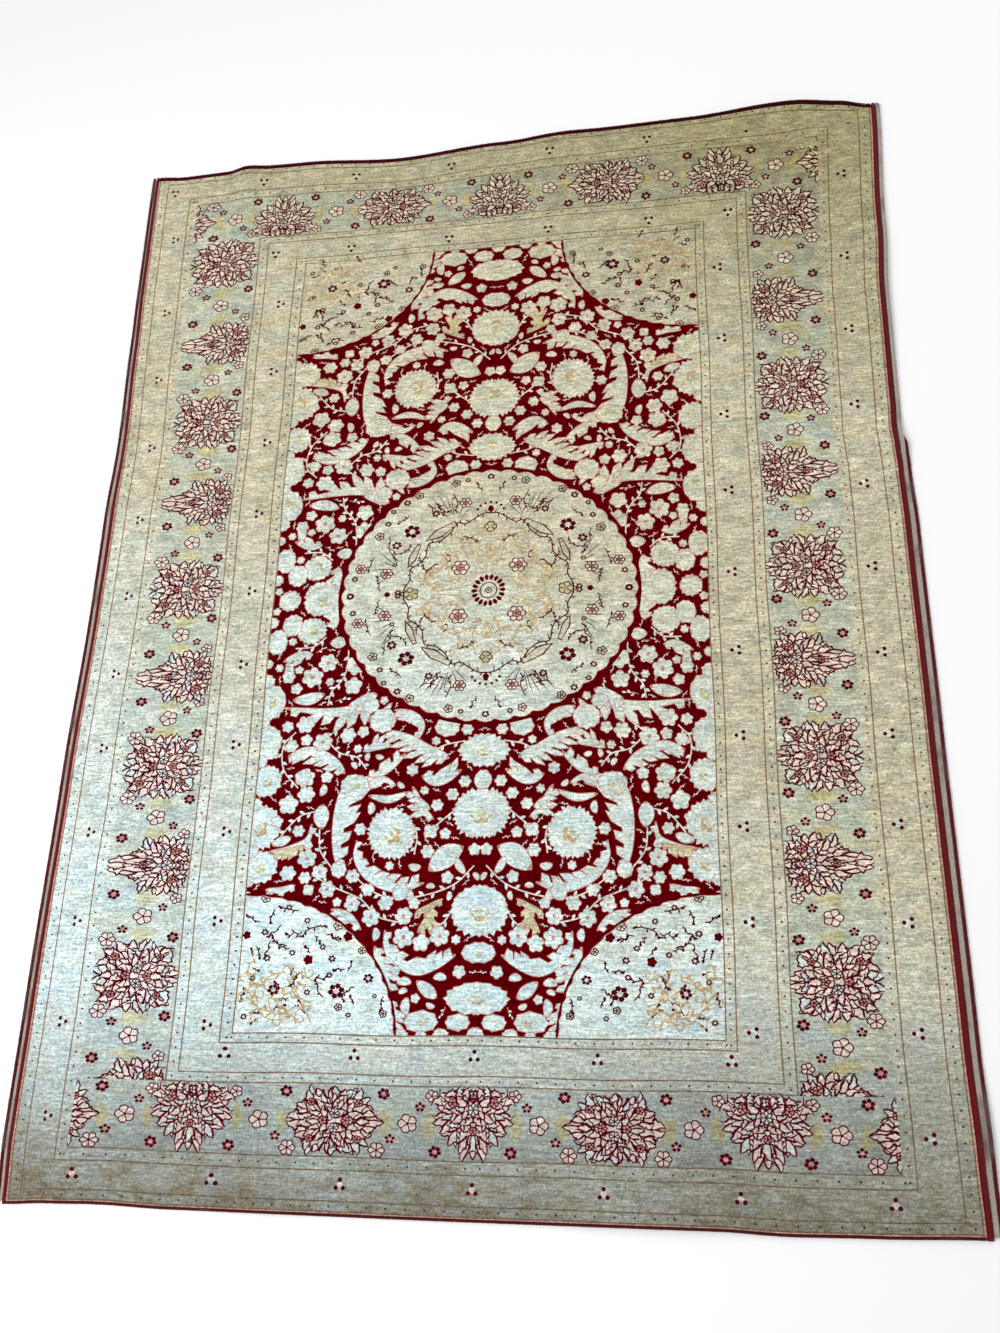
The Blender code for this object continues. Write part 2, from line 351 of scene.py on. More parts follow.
def smooth_line(points, per_span=5):
    """Points along a smooth curve through the given ones."""
    p = np.array(points, float)
    p = np.vstack([2 * p[0] - p[1], p, 2 * p[-1] - p[-2]])
    out = []
    for i in range(1, len(p) - 2):
        for t in np.arange(per_span) / per_span:
            a, b, c, d = p[i - 1:i + 3]
            out.append(0.5 * (2 * b + (c - a) * t + (2 * a - 5 * b + 4 * c - d) * t * t
                              + (3 * b - a - 3 * c + d) * t ** 3))
    out.append(p[-2])
    return np.array(out)


def line_frame(line):
    """Unit directions along a line and to its left, at each point."""
    along = np.gradient(line, axis=0)
    along /= np.maximum(np.linalg.norm(along, axis=1), 1e-6)[:, None]
    return along, np.stack([-along[:, 1], along[:, 0]], 1)


def stroke(yarn, points, width, per_span=5):
    """Stem of one width along a curve."""
    line = smooth_line(points, per_span)
    side = line_frame(line)[1] * (width / 2)
    return [(yarn, outline) for outline in band(line + side, line - side)]


def leaf(yarn, points, width, teeth=0, rim_width=RIM, fat_end=0.5):
    """Arabesque leaf along a curved midline, with flames on its left side; below 0 they lean back."""
    lean = 0.95 if teeth > 0 else -0.95
    teeth = abs(teeth)
    line = smooth_line(points, 6)
    t = np.linspace(0, 1, len(line))
    skew = t ** (math.log(0.5) / math.log(fat_end))
    half = 0.5 * width * np.sin(math.pi * skew) ** 0.75
    left = half * (0.45 if teeth else 1.0)
    flames = round(1.35 * teeth)
    spacing = np.linalg.norm(np.diff(line, axis=0), axis=1).sum() / (flames + 1.0)
    along, side = line_frame(line)

    def outlines(extra):
        trim = slice(1, -1) if extra == 0 else slice(None)
        shapes = band((line + side * (left + extra)[:, None])[trim],
                      (line - side * (half + extra)[:, None])[trim])
        for k in range(flames):
            i = int((k + 0.5) / (flames + 0.3) * (len(line) - 1))
            way = along[i] * lean + side[i]
            root = line[i] - side[i] * 0.2 * half[i]
            reach = half[i] * (1.7 + 0.4 * (k % 2)) + 0.2 * width + extra
            shapes.append(petal(root, root + way * reach, 0.72 * spacing + 2 * extra))
        return shapes

    return ([("rose", outline) for outline in outlines(rim_width)]
            + [(yarn, outline) for outline in outlines(0.0)])


def rosette(radius, lobes, yarn="ivory", rim="rose", core=None):
    """Flower of up to six round petals in one outline."""
    radius *= 1.1
    lobes = min(lobes, 6)
    shapes = [(rim, lobed(radius + RIM, lobes, 0.25, 6)), (yarn, lobed(radius, lobes, 0.25, 6))]
    if core:
        shapes.append((core, circle(0.24 * radius, 6)))
    return shapes


SMEAR_ROW = ((-1.0, 0.0), (-0.5, -1.0), (0.6, -1.0), (1.0, 0.0), (0.5, 1.0), (-0.6, 1.0))


def smear(half_x, half_y, seed):
    """Soft patch of a paler dye: short rows of knots, ragged at both ends."""
    rng = np.random.default_rng(seed)
    shapes = []
    for share in np.linspace(-0.9, 0.9, 5):
        reach = half_x * math.sqrt(1.0 - share * share) * rng.uniform(0.75, 1.15)
        middle = (rng.uniform(-0.2, 0.2) * half_x, share * half_y)
        shapes.append(("straw", np.array(SMEAR_ROW) * (reach, 0.30 * half_y) + middle))
    return shapes


def sprig(length):
    """Thin stem along +x with small pale leaves."""
    shapes = stroke("rose", ((0, 0), (0.5 * length, 0.08 * length), (length, 0)), 1.8, 3)
    for share, way in ((0.35, -0.75), (0.675, 0.75), (1.0, 0.0)):
        root = share * length
        tip = (root + 0.34 * length * math.cos(way), 0.34 * length * math.sin(way))
        shapes.append(("ivory", petal((root, 0.0), tip, 0.20 * length)))
    return shapes


FLOWER_SQUASH = 0.9
FLORET_SQUASH = 0.88


def floret(reach, petals, core="rose"):
    """Small flower of separate dark petals."""
    size = reach * 0.37
    shapes = [(core, circle(reach * 0.36, 7, squash=FLORET_SQUASH))]
    for t in 2 * math.pi * (np.arange(petals) + 0.25) / petals:
        x, y = (reach - size) * math.cos(t), FLORET_SQUASH * (reach - size) * math.sin(t)
        shapes.append(("dark", circle(size, 5, x, y, FLORET_SQUASH)))
    return shapes


def ring_flower(reach, petals, yarn="ivory", rim="dark", core="dark", line=2.8):
    """Outlined flower of round petals with thin lines between them."""
    shapes = [(rim, lobed(reach, petals, 0.22, squash=FLOWER_SQUASH)),
              (yarn, lobed(reach - line, petals, 0.24, squash=FLOWER_SQUASH))]
    for t in 2 * math.pi * (np.arange(petals) + 0.5) / petals:
        out = np.array([math.cos(t), FLOWER_SQUASH * math.sin(t)]) * 0.80 * reach
        side = np.array([-math.sin(t), math.cos(t)]) * 0.42 * line
        shapes.append((rim, np.array([side * 0.8, -side * 0.8, out - side, out + side])))
    shapes.append((core, circle(0.15 * reach, 6)))
    return shapes


def moved(motif, x, y):
    return [(yarn, points + (x, y)) for yarn, points in motif]


PETAL_LINE = 3.4


def lotus_petal(base, tip, width, bend):
    """Petal, widest past its middle, with a bent point and a barb on the side away from it."""
    along = tip - base
    side = half_across(along, width) * (1 if bend > 0 else -1)
    smooth = ((0.0, 0.58), (0.48, 0.98), (0.80, 0.66))
    barbed = ((0.0, 0.58), (0.30, 0.80), (0.56, 1.35), (0.62, 0.70), (0.84, 0.42))
    point = tip + side * abs(bend)
    return np.array([base + along * t - side * w for t, w in barbed] + [point]
                    + [base + along * t + side * w for t, w in smooth[::-1]])


def even_turns(outline, count):
    """Directions that meet an outline at even steps along it."""
    turns = np.linspace(-math.pi, math.pi, 181)
    reach = np.array([outline(t) for t in turns])
    spots = polar(turns, reach, reach)
    lengths = np.concatenate([[0.0], np.cumsum(np.linalg.norm(np.diff(spots, axis=0), axis=1))])
    return np.interp((np.arange(count) + 0.5) / count * lengths[-1], lengths, turns), lengths[-1] / count


def petal_ring(centre, outline, inner, outer, count, yarns, rng):
    """Ring of outlined petals around a centre, between two shares of an outline's reach."""
    shapes = []
    turns, room = even_turns(outline, count)
    room *= 0.35 * inner + 0.65 * outer
    for t in turns[rng.permutation(count)]:
        if t < -0.01:
            continue
        middle = t < 0.01
        t += 0 if middle else rng.uniform(-0.12, 0.12) * room / outline(t)
        reach = outline(t)
        way = np.array([math.cos(t), math.sin(t)])
        length = outer - inner
        uneven = 0.30 if outer == 1.0 else 0.20
        tip = reach * (outer + rng.uniform(-uneven, 0.8 * uneven) * length)
        foot = reach * inner
        lean = np.array([-way[1], way[0]]) * (0 if middle else rng.uniform(-1.0, 1.0)) * room
        start, end = centre + way * foot, centre + way * tip + lean
        width, bend = room * rng.uniform(0.9, 1.3), rng.uniform(-1.6, 1.6)
        rim = lotus_petal(start, end + way * PETAL_LINE, width + PETAL_LINE, bend)
        inside = lotus_petal(start, end, max(width - PETAL_LINE, 2.0), bend)
        yarn = yarns[rng.integers(len(yarns))]
        shapes += [("dark", rim), (yarn, inside)]
        if not middle:
            shapes += [("dark", (rim * (1, -1))[::-1]), (yarn, (inside * (1, -1))[::-1])]
    return shapes


# Rings of petals from the outside in: inner share, outer share, petals
ROUND_RINGS = (
    (0.68, 1.00, 34), (0.48, 0.80, 29), (0.31, 0.61, 22), (0.15, 0.43, 14), (0.0, 0.25, 7),
)
POINTED_RINGS = (
    (0.66, 1.00, 31), (0.47, 0.79, 26), (0.30, 0.60, 20), (0.14, 0.42, 13), (0.0, 0.24, 7),
)
PALMETTE_YARNS = ("blush", "blush", "blush", "ivory", "blush")


def palmette(centre, outline, rings, flowers, seed):
    """Palmette of many small petals, dark between them, with a few little flowers in it."""
    rng = np.random.default_rng(seed)
    edge = [centre + 0.84 * outline(t) * np.array([math.cos(t), math.sin(t)]) for t in around(36) - math.pi]
    shapes = [("blush", np.array(edge))]
    for inner, outer, count in rings:
        shapes += petal_ring(centre, outline, inner, outer, count, PALMETTE_YARNS, rng)
    for x, y, size, petals in flowers:
        shapes += moved(ring_flower(size, petals, yarn="rose" if petals == 5 else "ivory"), x, y)
    return shapes


def round_palmette(half_x, half_y, seed):
    """Rounded palmette about its middle."""
    def outline(t):
        c, s = math.cos(t), math.sin(t)
        reach = 1.0 / ((abs(c) / half_x) ** 2.6 + (abs(s) / half_y) ** 2.6) ** (1 / 2.6)
        return reach * (1.0 + 0.035 * math.cos(8 * t))

    flowers = ((0.0, 0.22 * half_y, 11.0, 6), (0.0, -0.22 * half_y, 11.0, 6), (0.26 * half_x, 0.0, 10.0, 5),
               (-0.26 * half_x, 0.0, 10.0, 5), (0.55 * half_x, 0.55 * half_y, 9.0, 5),
               (-0.55 * half_x, 0.55 * half_y, 9.0, 5), (0.55 * half_x, -0.55 * half_y, 9.0, 5),
               (-0.55 * half_x, -0.55 * half_y, 9.0, 5))
    return palmette(np.zeros(2), outline, ROUND_RINGS, flowers, seed)


def pointed_palmette(half_x, half_y, seed):
    """Palmette that opens from its foot, at -x, to a spear at +x."""
    foot = np.array([-0.52 * half_x, 0.0])

    def outline(t):
        c, s = math.cos(t), math.sin(t)
        if c < 0:
            return 1.0 / ((abs(c) / (0.48 * half_x)) ** 3 + (abs(s) / half_y) ** 3) ** (1 / 3)
        reach = 1.0 / ((abs(c) / (1.30 * half_x)) ** 2.0 + (abs(s) / half_y) ** 2.0) ** 0.5
        return reach * (1.0 + 0.04 * math.cos(10 * t) + 0.16 * c ** 24)

    flowers = ((foot[0] + 6.0, 0.0, 13.0, 6), (-0.62 * half_x, 0.52 * half_y, 10.5, 5),
               (-0.62 * half_x, -0.52 * half_y, 10.5, 5), (0.18 * half_x, 0.0, 9.0, 5))
    return palmette(foot, outline, POINTED_RINGS, flowers, seed)


def triad():
    """Three dark dots on a pale one, the single one towards -x."""
    spots = ((-7.6, 0.0), (6.0, 6.8), (6.0, -6.8))
    return [("ivory", circle(5.76, 8, 1.0))] + [("dark", circle(4.2, 7, x, y)) for x, y in spots]


def twig(length, width, seed):
    """Crooked dark sprig along +x with thorns and a bud."""
    rng = np.random.default_rng(seed)
    along = np.linspace(0, length, 5)
    stem = np.stack([along, rng.uniform(-0.11, 0.11, 5) * length], 1)
    shapes = stroke("dark", stem, width, 2)
    for k in range(1, 5):
        turn = rng.uniform(0.5, 1.2) * (1 if k % 2 else -1)
        tip = stem[k] + rng.uniform(0.16, 0.32) * length * np.array([math.cos(turn), math.sin(turn)])
        shapes.append(("dark", petal(stem[k], tip, 1.5 * width)))
    shapes.append(("dark", circle(1.3 * width, 6, *stem[-1])))
    return shapes


def pod(size):
    """Pod along +x with a dark outline."""
    return [("dark", petal((0, 0), (size, 0), 0.30 * size)),
            ("ground", petal((3.0, 0), (size - 6.0, 0), 0.30 * size - 6.0))]


def scroll(size):
    """Curling gold arabesque along +x."""
    turn = np.linspace(0.0, 1.6 * math.pi, 9)
    curl = np.stack([0.62 * size + 0.30 * size * np.sin(turn) * (1 - turn / 7.0),
                     0.34 * size - 0.34 * size * np.cos(turn) * (1 - turn / 7.0)], 1)
    shapes = stroke("gold", np.vstack([((0, 0), (0.3 * size, -0.04 * size)), curl]), 2.6, 2)
    shapes.append(("gold", petal((0.3 * size, 0), (0.5 * size, -0.26 * size), 0.16 * size)))
    shapes.append(("gold", petal((0.1 * size, 0), (0.26 * size, 0.2 * size), 0.13 * size)))
    return shapes


# Where the drawing's bands lie, in millimetres: u and v of each frame
BAND_LINES = {
    "field": (468.0, 901.0),
    "inner_guard": (490.0, 921.0),
    "inner_band": (566.0, 975.0),
    "middle_guard": (588.0, 993.0),
    "main_border": (748.0, 1121.0),
    "outer_guard": (771.0, 1144.0),
    "outer_band": (841.0, 1196.0),
    "edge_guard": (867.0, 1213.5),
    "edge": (870.0, 1215.0),
}
LINE_WIDTH = 2.6
FAR_STRIP = 8.0
GUARDS = (("inner_guard", "field"), ("middle_guard", "inner_band"),
          ("outer_guard", "main_border"), ("edge_guard", "outer_band"))
GUARD_DOT = 2.3
GUARD_DOT_STEP = 27.0

# The medallion and the corner pieces: half their width and height
MEDALLION = (318.0, 290.0)
SPANDREL = (312.0, 262.0)
MEDALLION_SURROUND = 8.0
SPANDREL_SURROUND = 5.0

# Palmettes of the main border: place along it, kind
SIDE_PALMETTES = (
    (925, "round"), (688, "pointed"), (468, "round"), (256, "pointed"), (38, "round"),
    (-168, "pointed"), (-368, "round"), (-578, "pointed"), (-797, "round"), (-1012, "pointed"),
)
END_PALMETTES = ((0, "pointed"), (262, "round"), (531, "pointed"), (793, "round"))
BORDER_MID_U = 668.0
BORDER_MID_V = 1057.0
BORDER_HALF_U = 80.0
BORDER_HALF_V = 64.0
SIDE_RUN_PAST = 12.0

# Between a pointed and a round palmette: share of the way, share of half the border, kind
BORDER_GAP = (
    (0.270, 0.74, "red"), (0.300, -0.77, "small"), (0.385, -0.46, "red_small"),
    (0.470, 0.00, "white"), (0.590, 0.44, "red_small"), (0.680, 0.76, "medium"),
    (0.650, -0.79, "red"),
)
STRAW_SHARES = (0.31, 0.63)

# Triads: places along the outer and the inner plain band
OUTER_TRIADS_SIDE = (1016, 792, 598, 408, 218, 29, -156, -325, -506, -690, -886, -1062)
INNER_TRIADS_SIDE = (788, 597, 405, 220, 29, -145, -325, -508, -688, -887)
OUTER_TRIADS_FAR = (122, 361, 594, 817)
OUTER_TRIADS_NEAR = (0, 241, 482, 733)
INNER_TRIADS_FAR = (120, 360, 545)
INNER_TRIADS_NEAR = (0, 230, 478)

# Field quarter: x, y, radius, lobes
FIELD_ROSETTES = (
    (77, 719, 17, 8), (112, 731, 15, 5), (147, 720, 18, 8), (149, 679, 15, 7), (130, 655, 10, 5),
    (187, 654, 13, 6), (214, 682, 16, 8), (254, 657, 14, 7), (224, 629, 11, 6), (307, 629, 15, 7),
    (257, 603, 12, 7), (325, 595, 14, 8), (352, 567, 17, 8), (107, 554, 12, 6), (102, 514, 13, 4),
    (72, 519, 10, 5), (397, 454, 18, 5), (362, 434, 16, 6), (367, 399, 18, 8), (417, 489, 11, 5),
    (322, 399, 11, 5), (284, 312, 15, 6), (337, 324, 18, 7), (377, 284, 17, 6), (282, 204, 17, 5),
    (279, 158, 20, 8), (339, 149, 18, 7), (370, 180, 20, 8), (372, 398, 15, 5), (402, 330, 12, 6),
    (388, 596, 14, 6), (420, 178, 12, 5), (60, 440, 11, 6), (158, 782, 8, 5), (345, 630, 10, 4),
)
# Leaf and arabesque midlines in the quarter: width, flames, where it is fattest, points
FIELD_LEAVES = (
    (24, 6, 0.50, ((184, 706), (170, 748), (124, 778), (84, 772), (44, 754))),
    (22, 0, 0.50, ((76, 834), (94, 820), (116, 802))),
    (14, 0, 0.50, ((126, 806), (140, 802), (154, 806))),
    (16, 0, 0.50, ((132, 866), (136, 848), (132, 832))),
    (24, 6, 0.62, ((252, 532), (250, 566), (222, 600), (168, 622), (112, 616))),
    (18, 2, 0.50, ((132, 648), (146, 634), (164, 628))),
    (42, 0, 0.55, ((34, 546), (66, 562), (104, 592))),
    (38, -6, 0.36, ((240, 404), (270, 430), (284, 480), (290, 540), (286, 596))),
    (22, 0, 0.50, ((276, 572), (286, 584), (288, 600))),
    (20, 3, 0.55, ((96, 490), (124, 470), (142, 424))),
    (16, 2, 0.50, ((104, 470), (122, 460), (140, 444))),
    (28, 3, 0.50, ((124, 402), (90, 408), (44, 390))),
    (30, 6, 0.40, ((70, 366), (112, 356), (158, 328), (200, 306))),
    (20, 4, 0.50, ((136, 326), (134, 296), (156, 274), (190, 262))),
    (20, 3, 0.50, ((250, 348), (222, 336), (190, 338))),
    (30, 5, 0.34, ((232, 232), (268, 260), (330, 262), (428, 246))),
    (26, 3, 0.40, ((228, 226), (256, 240), (288, 246))),
    (24, 0, 0.50, ((342, 218), (374, 228), (408, 230))),
    (15, 3, 0.55, ((346, 496), (352, 530), (388, 548), (432, 552))),
    (18, 0, 0.50, ((386, 522), (404, 530), (424, 536))),
    (30, 0, 0.50, ((326, 456), (328, 480), (326, 508))),
    (26, 5, 0.45, ((284, 394), (318, 366), (366, 344), (408, 352))),
    (18, 3, 0.50, ((236, 402), (200, 388), (160, 356))),
    (24, 0, 0.50, ((302, 100), (318, 104), (338, 104))),
    (24, 3, 0.45, ((332, 74), (334, 44), (326, 10))),
    (20, 3, 0.50, ((372, 128), (398, 130), (434, 142))),
    (18, 0, 0.50, ((414, 190), (420, 166), (416, 144))),
    (14, 0, 0.50, ((150, 436), (190, 450), (232, 442))),
    (14, 2, 0.50, ((176, 422), (206, 410), (236, 418))),
    (14, 0, 0.50, ((30, 600), (42, 584), (50, 566))),
    (12, 0, 0.50, ((196, 246), (214, 268), (244, 284))),
    (16, 0, 0.50, ((430, 356), (440, 340), (446, 322))),
    (16, 2, 0.50, ((372, 620), (398, 632), (430, 628))),
    (24, 4, 0.50, ((202, 736), (182, 778), (166, 822))),
    (20, 3, 0.50, ((163, 836), (157, 862), (154, 892))),
    (18, 3, 0.50, ((232, 706), (262, 682), (296, 668))),
)
FIELD_STRAW_LEAVES = (
    (15, 2, 0.50, ((74, 648), (104, 668), (126, 672))),
    (22, 3, 0.50, ((92, 664), (98, 690), (120, 712))),
    (14, 3, 0.50, ((358, 540), (390, 552), (424, 553))),
)
# Vines in the quarter, as points
FIELD_VINES = (
    ((12, 584), (52, 620), (112, 640), (172, 644), (214, 632), (262, 596)),
    ((47, 652), (68, 690), (96, 708)),
    ((142, 694), (202, 680), (236, 648), (296, 624), (340, 600)),
    ((300, 588), (326, 552), (330, 508)),
    ((296, 84), (298, 160), (308, 190), (328, 214), (334, 244)),
    ((300, 292), (326, 316), (300, 348), (262, 360), (240, 386)),
    ((180, 470), (150, 486), (130, 520), (134, 560)),
    ((396, 300), (420, 330), (414, 380), (380, 420)),
    ((40, 330), (84, 340), (110, 362)),
    ((52, 470), (88, 500), (116, 520)),
    ((340, 470), (372, 480), (400, 510), (420, 540)),
    ((346, 90), (372, 110), (410, 112)),
)
# Toothed flowers: x, y, half width, half height, teeth
FIELD_FLOWERS = (
    (0, 834, 62, 30, 12), (0, 750, 34, 20, 8), (2, 672, 58, 50, 18), (5, 480, 54, 52, 22),
    (2, 350, 50, 34, 16), (182, 519, 50, 52, 22), (447, 582, 38, 34, 12), (452, 500, 44, 48, 16),
    (448, 404, 32, 34, 12), (452, 322, 28, 38, 10), (454, 232, 32, 40, 9), (378, 74, 32, 30, 14),
    (420, 58, 22, 26, 8), (362, 6, 38, 34, 12), (450, 96, 22, 30, 8), (104, 876, 34, 20, 6),
    (34, 878, 24, 15, 6), (212, 284, 28, 26, 9), (78, 300, 26, 20, 7), (262, 420, 30, 24, 9),
    (158, 632, 16, 18, 5), (432, 2, 24, 22, 10), (240, 250, 18, 16, 6), (0, 410, 18, 20, 5),
    (286, 590, 16, 16, 6),
)

# Flowers that break the field's straight edges: place along it, half height
SIDE_BITES = ((610, 11), (548, 15), (452, 13), (362, 14), (277, 12), (186, 16), (146, 10), (50, 13), (640, 9))
END_BITES = ((0, 17), (66, 15), (104, 10), (143, 14))

# Medallion quarter: x, y, reach, kind
MEDALLION_FLOWERS = (
    (52, 268, 8, "dots"), (78, 262, 11, "ring"), (160, 238, 11, "ring"), (187, 222, 10, "dots"),
    (217, 202, 8, "dots"), (227, 172, 9, "dots"), (244, 142, 12, "ring"), (122, 190, 11, "dots"),
    (204, 118, 13, "dots"), (222, 50, 15, "rose"), (280, 64, 14, "rose"), (292, 40, 9, "dots"),
    (56, 212, 15, "rose"), (62, 56, 21, "rose"), (172, 150, 21, "dots"), (0, 274, 10, "dots"),
    (0, 150, 15, "dark_gold"), (166, 0, 18, "dark_gold"), (0, 100, 12, "gold"), (0, 78, 9, "gold"),
    (300, 0, 10, "dots"), (205, 70, 7, "dots"), (195, 4, 9, "dots"),
)
MEDALLION_BRANCH = (
    (0, 184), (16, 183), (36, 172), (56, 160), (74, 164), (88, 141), (110, 123), (134, 118),
    (139, 88), (154, 70), (171, 58), (170, 34), (182, 12), (182, 0),
)
MEDALLION_TWIGS = (
    (84, 238, -100, 34), (140, 216, -150, 40), (226, 140, -110, 44), (205, 92, 150, 30),
    (100, 180, 60, 30), (250, 90, -60, 26), (60, 130, 200, 26), (150, 96, -100, 30),
    (20, 236, 60, 20), (180, 190, -40, 24), (236, 10, 80, 26), (110, 70, -30, 24),
)
MEDALLION_PODS = ((76, 164, -31, 78), (154, 118, -68, 62))
MEDALLION_FANS = (
    ((78, 166), ((150, 222), (138, 234), (120, 240), (102, 236), (90, 226), (58, 212), (40, 204))),
    ((192, 60), ((242, 104), (236, 82), (254, 62), (248, 40), (224, 114), (232, 128), (250, 20))),
)
MEDALLION_GOLD = (
    ((10, 120), (30, 132), (50, 122), (62, 100), (84, 92)),
    ((70, 20), (100, 28), (128, 20), (140, 40), (126, 62)),
    ((16, 70), (30, 96), (26, 118)),
    ((108, 96), (96, 76), (110, 52), (134, 48)),
    ((46, 30), (60, 12), (84, 6), (110, 4)),
)

# Gold scrolls: x, y, turn, size
MEDALLION_SCROLLS = (
    (14, 60, 60, 40), (30, 84, 20, 44), (60, 96, -30, 40), (96, 84, -80, 36), (120, 60, -60, 40),
    (60, 24, 30, 44), (100, 12, 10, 44), (24, 110, 80, 36), (76, 60, 10, 36), (130, 20, 70, 34),
    (10, 140, 100, 34), (48, 128, -10, 34),
)
SPANDREL_SCROLLS = (
    (318, 850, 20, 44), (352, 870, -10, 44), (392, 868, -20, 48), (430, 852, -60, 44), (344, 836, -50, 40),
    (366, 812, -100, 38), (384, 790, 20, 44), (420, 800, 60, 40), (446, 790, 120, 40), (330, 812, 10, 40),
    (404, 838, 180, 36), (376, 848, 80, 34), (448, 830, -100, 44), (440, 762, 60, 34), (350, 788, 150, 32),
)

# Spandrel quarter: x, y, reach, kind
SPANDREL_FLOWERS = (
    (178, 862, 9, "ring"), (246, 866, 7, "dots"), (266, 852, 9, "ring"), (272, 822, 19, "dots"),
    (288, 793, 8, "dots"), (210, 797, 12, "dots"), (226, 745, 9, "ring"), (285, 762, 9, "dots"),
    (333, 765, 11, "red"), (306, 740, 8, "dots"), (256, 719, 11, "red"), (278, 699, 11, "ring"),
    (396, 822, 14, "dots"), (415, 762, 9, "dots"), (424, 712, 9, "dots"), (460, 717, 9, "red"),
    (427, 645, 11, "ring"), (366, 752, 8, "dots"), (380, 664, 8, "dots"), (450, 872, 8, "dots"),
    (342, 690, 8, "dots"), (440, 800, 7, "dots"), (196, 830, 6, "dots"), (330, 826, 8, "dots"),
)
SPANDREL_TWIGS = (
    (318, 700, 30, 30), (350, 712, 10, 26), (392, 700, 40, 26), (380, 742, -30, 28),
    (414, 730, 80, 26), (360, 668, 0, 30), (408, 668, 70, 22), (436, 690, -20, 24),
    (300, 716, 160, 24), (180, 830, 80, 22), (238, 812, 40, 24), (300, 836, -60, 30),
    (318, 804, 200, 26), (440, 740, 120, 20), (350, 790, 60, 22), (258, 780, 10, 18),
)
SPANDREL_GOLD = (
    ((318, 884), (330, 862), (352, 854), (372, 868), (396, 862), (404, 840)),
    ((346, 886), (356, 870), (384, 878), (410, 872), (428, 850), (450, 836)),
    ((322, 846), (346, 836), (362, 816), (352, 794), (372, 780)),
    ((392, 800), (414, 806), (432, 824), (424, 846)),
    ((300, 810), (330, 800), (340, 780)), ((440, 812), (452, 790), (446, 768)),
    ((376, 836), (386, 850), (372, 858)),
)

SPANDREL_SPRIGS = 20
SEED = 7


def midway(outer, inner):
    """Middle of the band between two lines, as u and v."""
    return 0.5 * (np.array(BAND_LINES[outer]) + BAND_LINES[inner])


def box(low_u, low_v, high_u, high_v):
    return (low_u, low_v), (high_u, low_v), (high_u, high_v), (low_u, high_v)


def draw_frames(d):
    """Grounds and thin lines of all the bands, right half only."""
    names = [*BAND_LINES][::-1]
    yarns = {"edge": "rose", "main_border": "aqua"}
    grounds = {}
    for name in names[:-1]:
        u, v = BAND_LINES[name]
        grounds[name] = d.shape(yarns.get(name, "ground"), box(0, -v, u, v))
    for name in names[1:]:
        u, v = BAND_LINES[name]
        if name == "field":
            u, v = u + LINE_WIDTH, v + LINE_WIDTH
        d.shape("line", box(u - LINE_WIDTH, -v, u, v))
        for sign in (-1, 1):
            d.shape("line", box(0, sign * (v - LINE_WIDTH), u - LINE_WIDTH, sign * v))
    u, v = BAND_LINES["field"]
    field = d.shape("crimson", box(0, -v, u, v))
    u, v = BAND_LINES["edge"]
    d.shape("dark", box(0, v - FAR_STRIP, u, v))
    return grounds["main_border"], field


def draw_guard_dots(d):
    """A row of dots along each narrow guard."""
    for outer, inner in GUARDS:
        u, v = midway(outer, inner) - 1.0
        for place_v in np.arange(-v, v + 1.0, 2 * v / round(2 * v / GUARD_DOT_STEP)):
            d.shape("umber", circle(GUARD_DOT, 5, u, place_v))
        for place_u in np.arange(GUARD_DOT_STEP / 2, u - 5.0, GUARD_DOT_STEP * 1.3):
            for sign in (-1, 1):
                d.shape("umber", circle(GUARD_DOT, 5, place_u, sign * v))


def draw_run(d, palmettes, kinds, size, spot, smear_turn=0.0, spear_turn=0.0):
    """Palmettes in a row with smears and small flowers between them; spot gives u and v."""
    flowers = {
        "red": floret(13.0, 6),
        "red_small": floret(10.5, 5),
        "white": ring_flower(20.0, 5, "blush"),
        "medium": ring_flower(17.0, 6, "blush"),
        "small": ring_flower(13.5, 5, "blush"),
    }
    for (first, kind), (after, _) in zip(palmettes, palmettes[1:]):
        start, end = (first, after) if kind == "pointed" else (after, first)
        for share in STRAW_SHARES:
            mid = start + (end - start) * share
            d.put(smear(*size, round(mid) % 7), *spot(mid, 0.0), smear_turn)
        for share, out, flower in BORDER_GAP:
            d.put(flowers[flower], *spot(start + (end - start) * share, out))
    for along, kind in palmettes:
        d.put(kinds[kind], *spot(along, 0.0), spear_turn if kind == "pointed" else 0.0)


def draw_main_border(d, zone):
    """The border's run up the side, and one along each end."""
    d.zone = zone
    low_u, high_v = BAND_LINES["middle_guard"]
    d.zone = d.shape("aqua", box(low_u, -high_v, BAND_LINES["main_border"][0], high_v + SIDE_RUN_PAST))
    kinds = {"round": round_palmette(77, 67, 1), "pointed": pointed_palmette(77, 55, 2)}
    draw_run(d, SIDE_PALMETTES, kinds, (32, 11),
             lambda along, out: (BORDER_MID_U + out * BORDER_HALF_U, along))
    d.zone = zone
    kinds = {"round": round_palmette(84, 58, 3), "pointed": pointed_palmette(60, 76, 4)}
    for sign in (1, -1):
        draw_run(d, END_PALMETTES, kinds, (28, 10),
                 lambda along, out: (along, sign * (BORDER_MID_V + out * BORDER_HALF_V)), 90, sign * 90)
    d.zone = -1


def draw_triads(d):
    """Triads along both plain bands, the single dot inwards."""
    u_out, v_out = midway("outer_guard", "outer_band") - (8.0, 4.0)
    u_in, v_in = midway("inner_guard", "inner_band") - 10.0
    for row, u in ((OUTER_TRIADS_SIDE, u_out), (INNER_TRIADS_SIDE, u_in)):
        for v in row:
            d.put(triad(), u, v)
    for row, sign, v in ((OUTER_TRIADS_FAR, 1, v_out), (OUTER_TRIADS_NEAR, -1, v_out),
                         (INNER_TRIADS_FAR, 1, v_in), (INNER_TRIADS_NEAR, -1, v_in)):
        for u in row:
            d.put(triad(), u, sign * v, sign * 90)


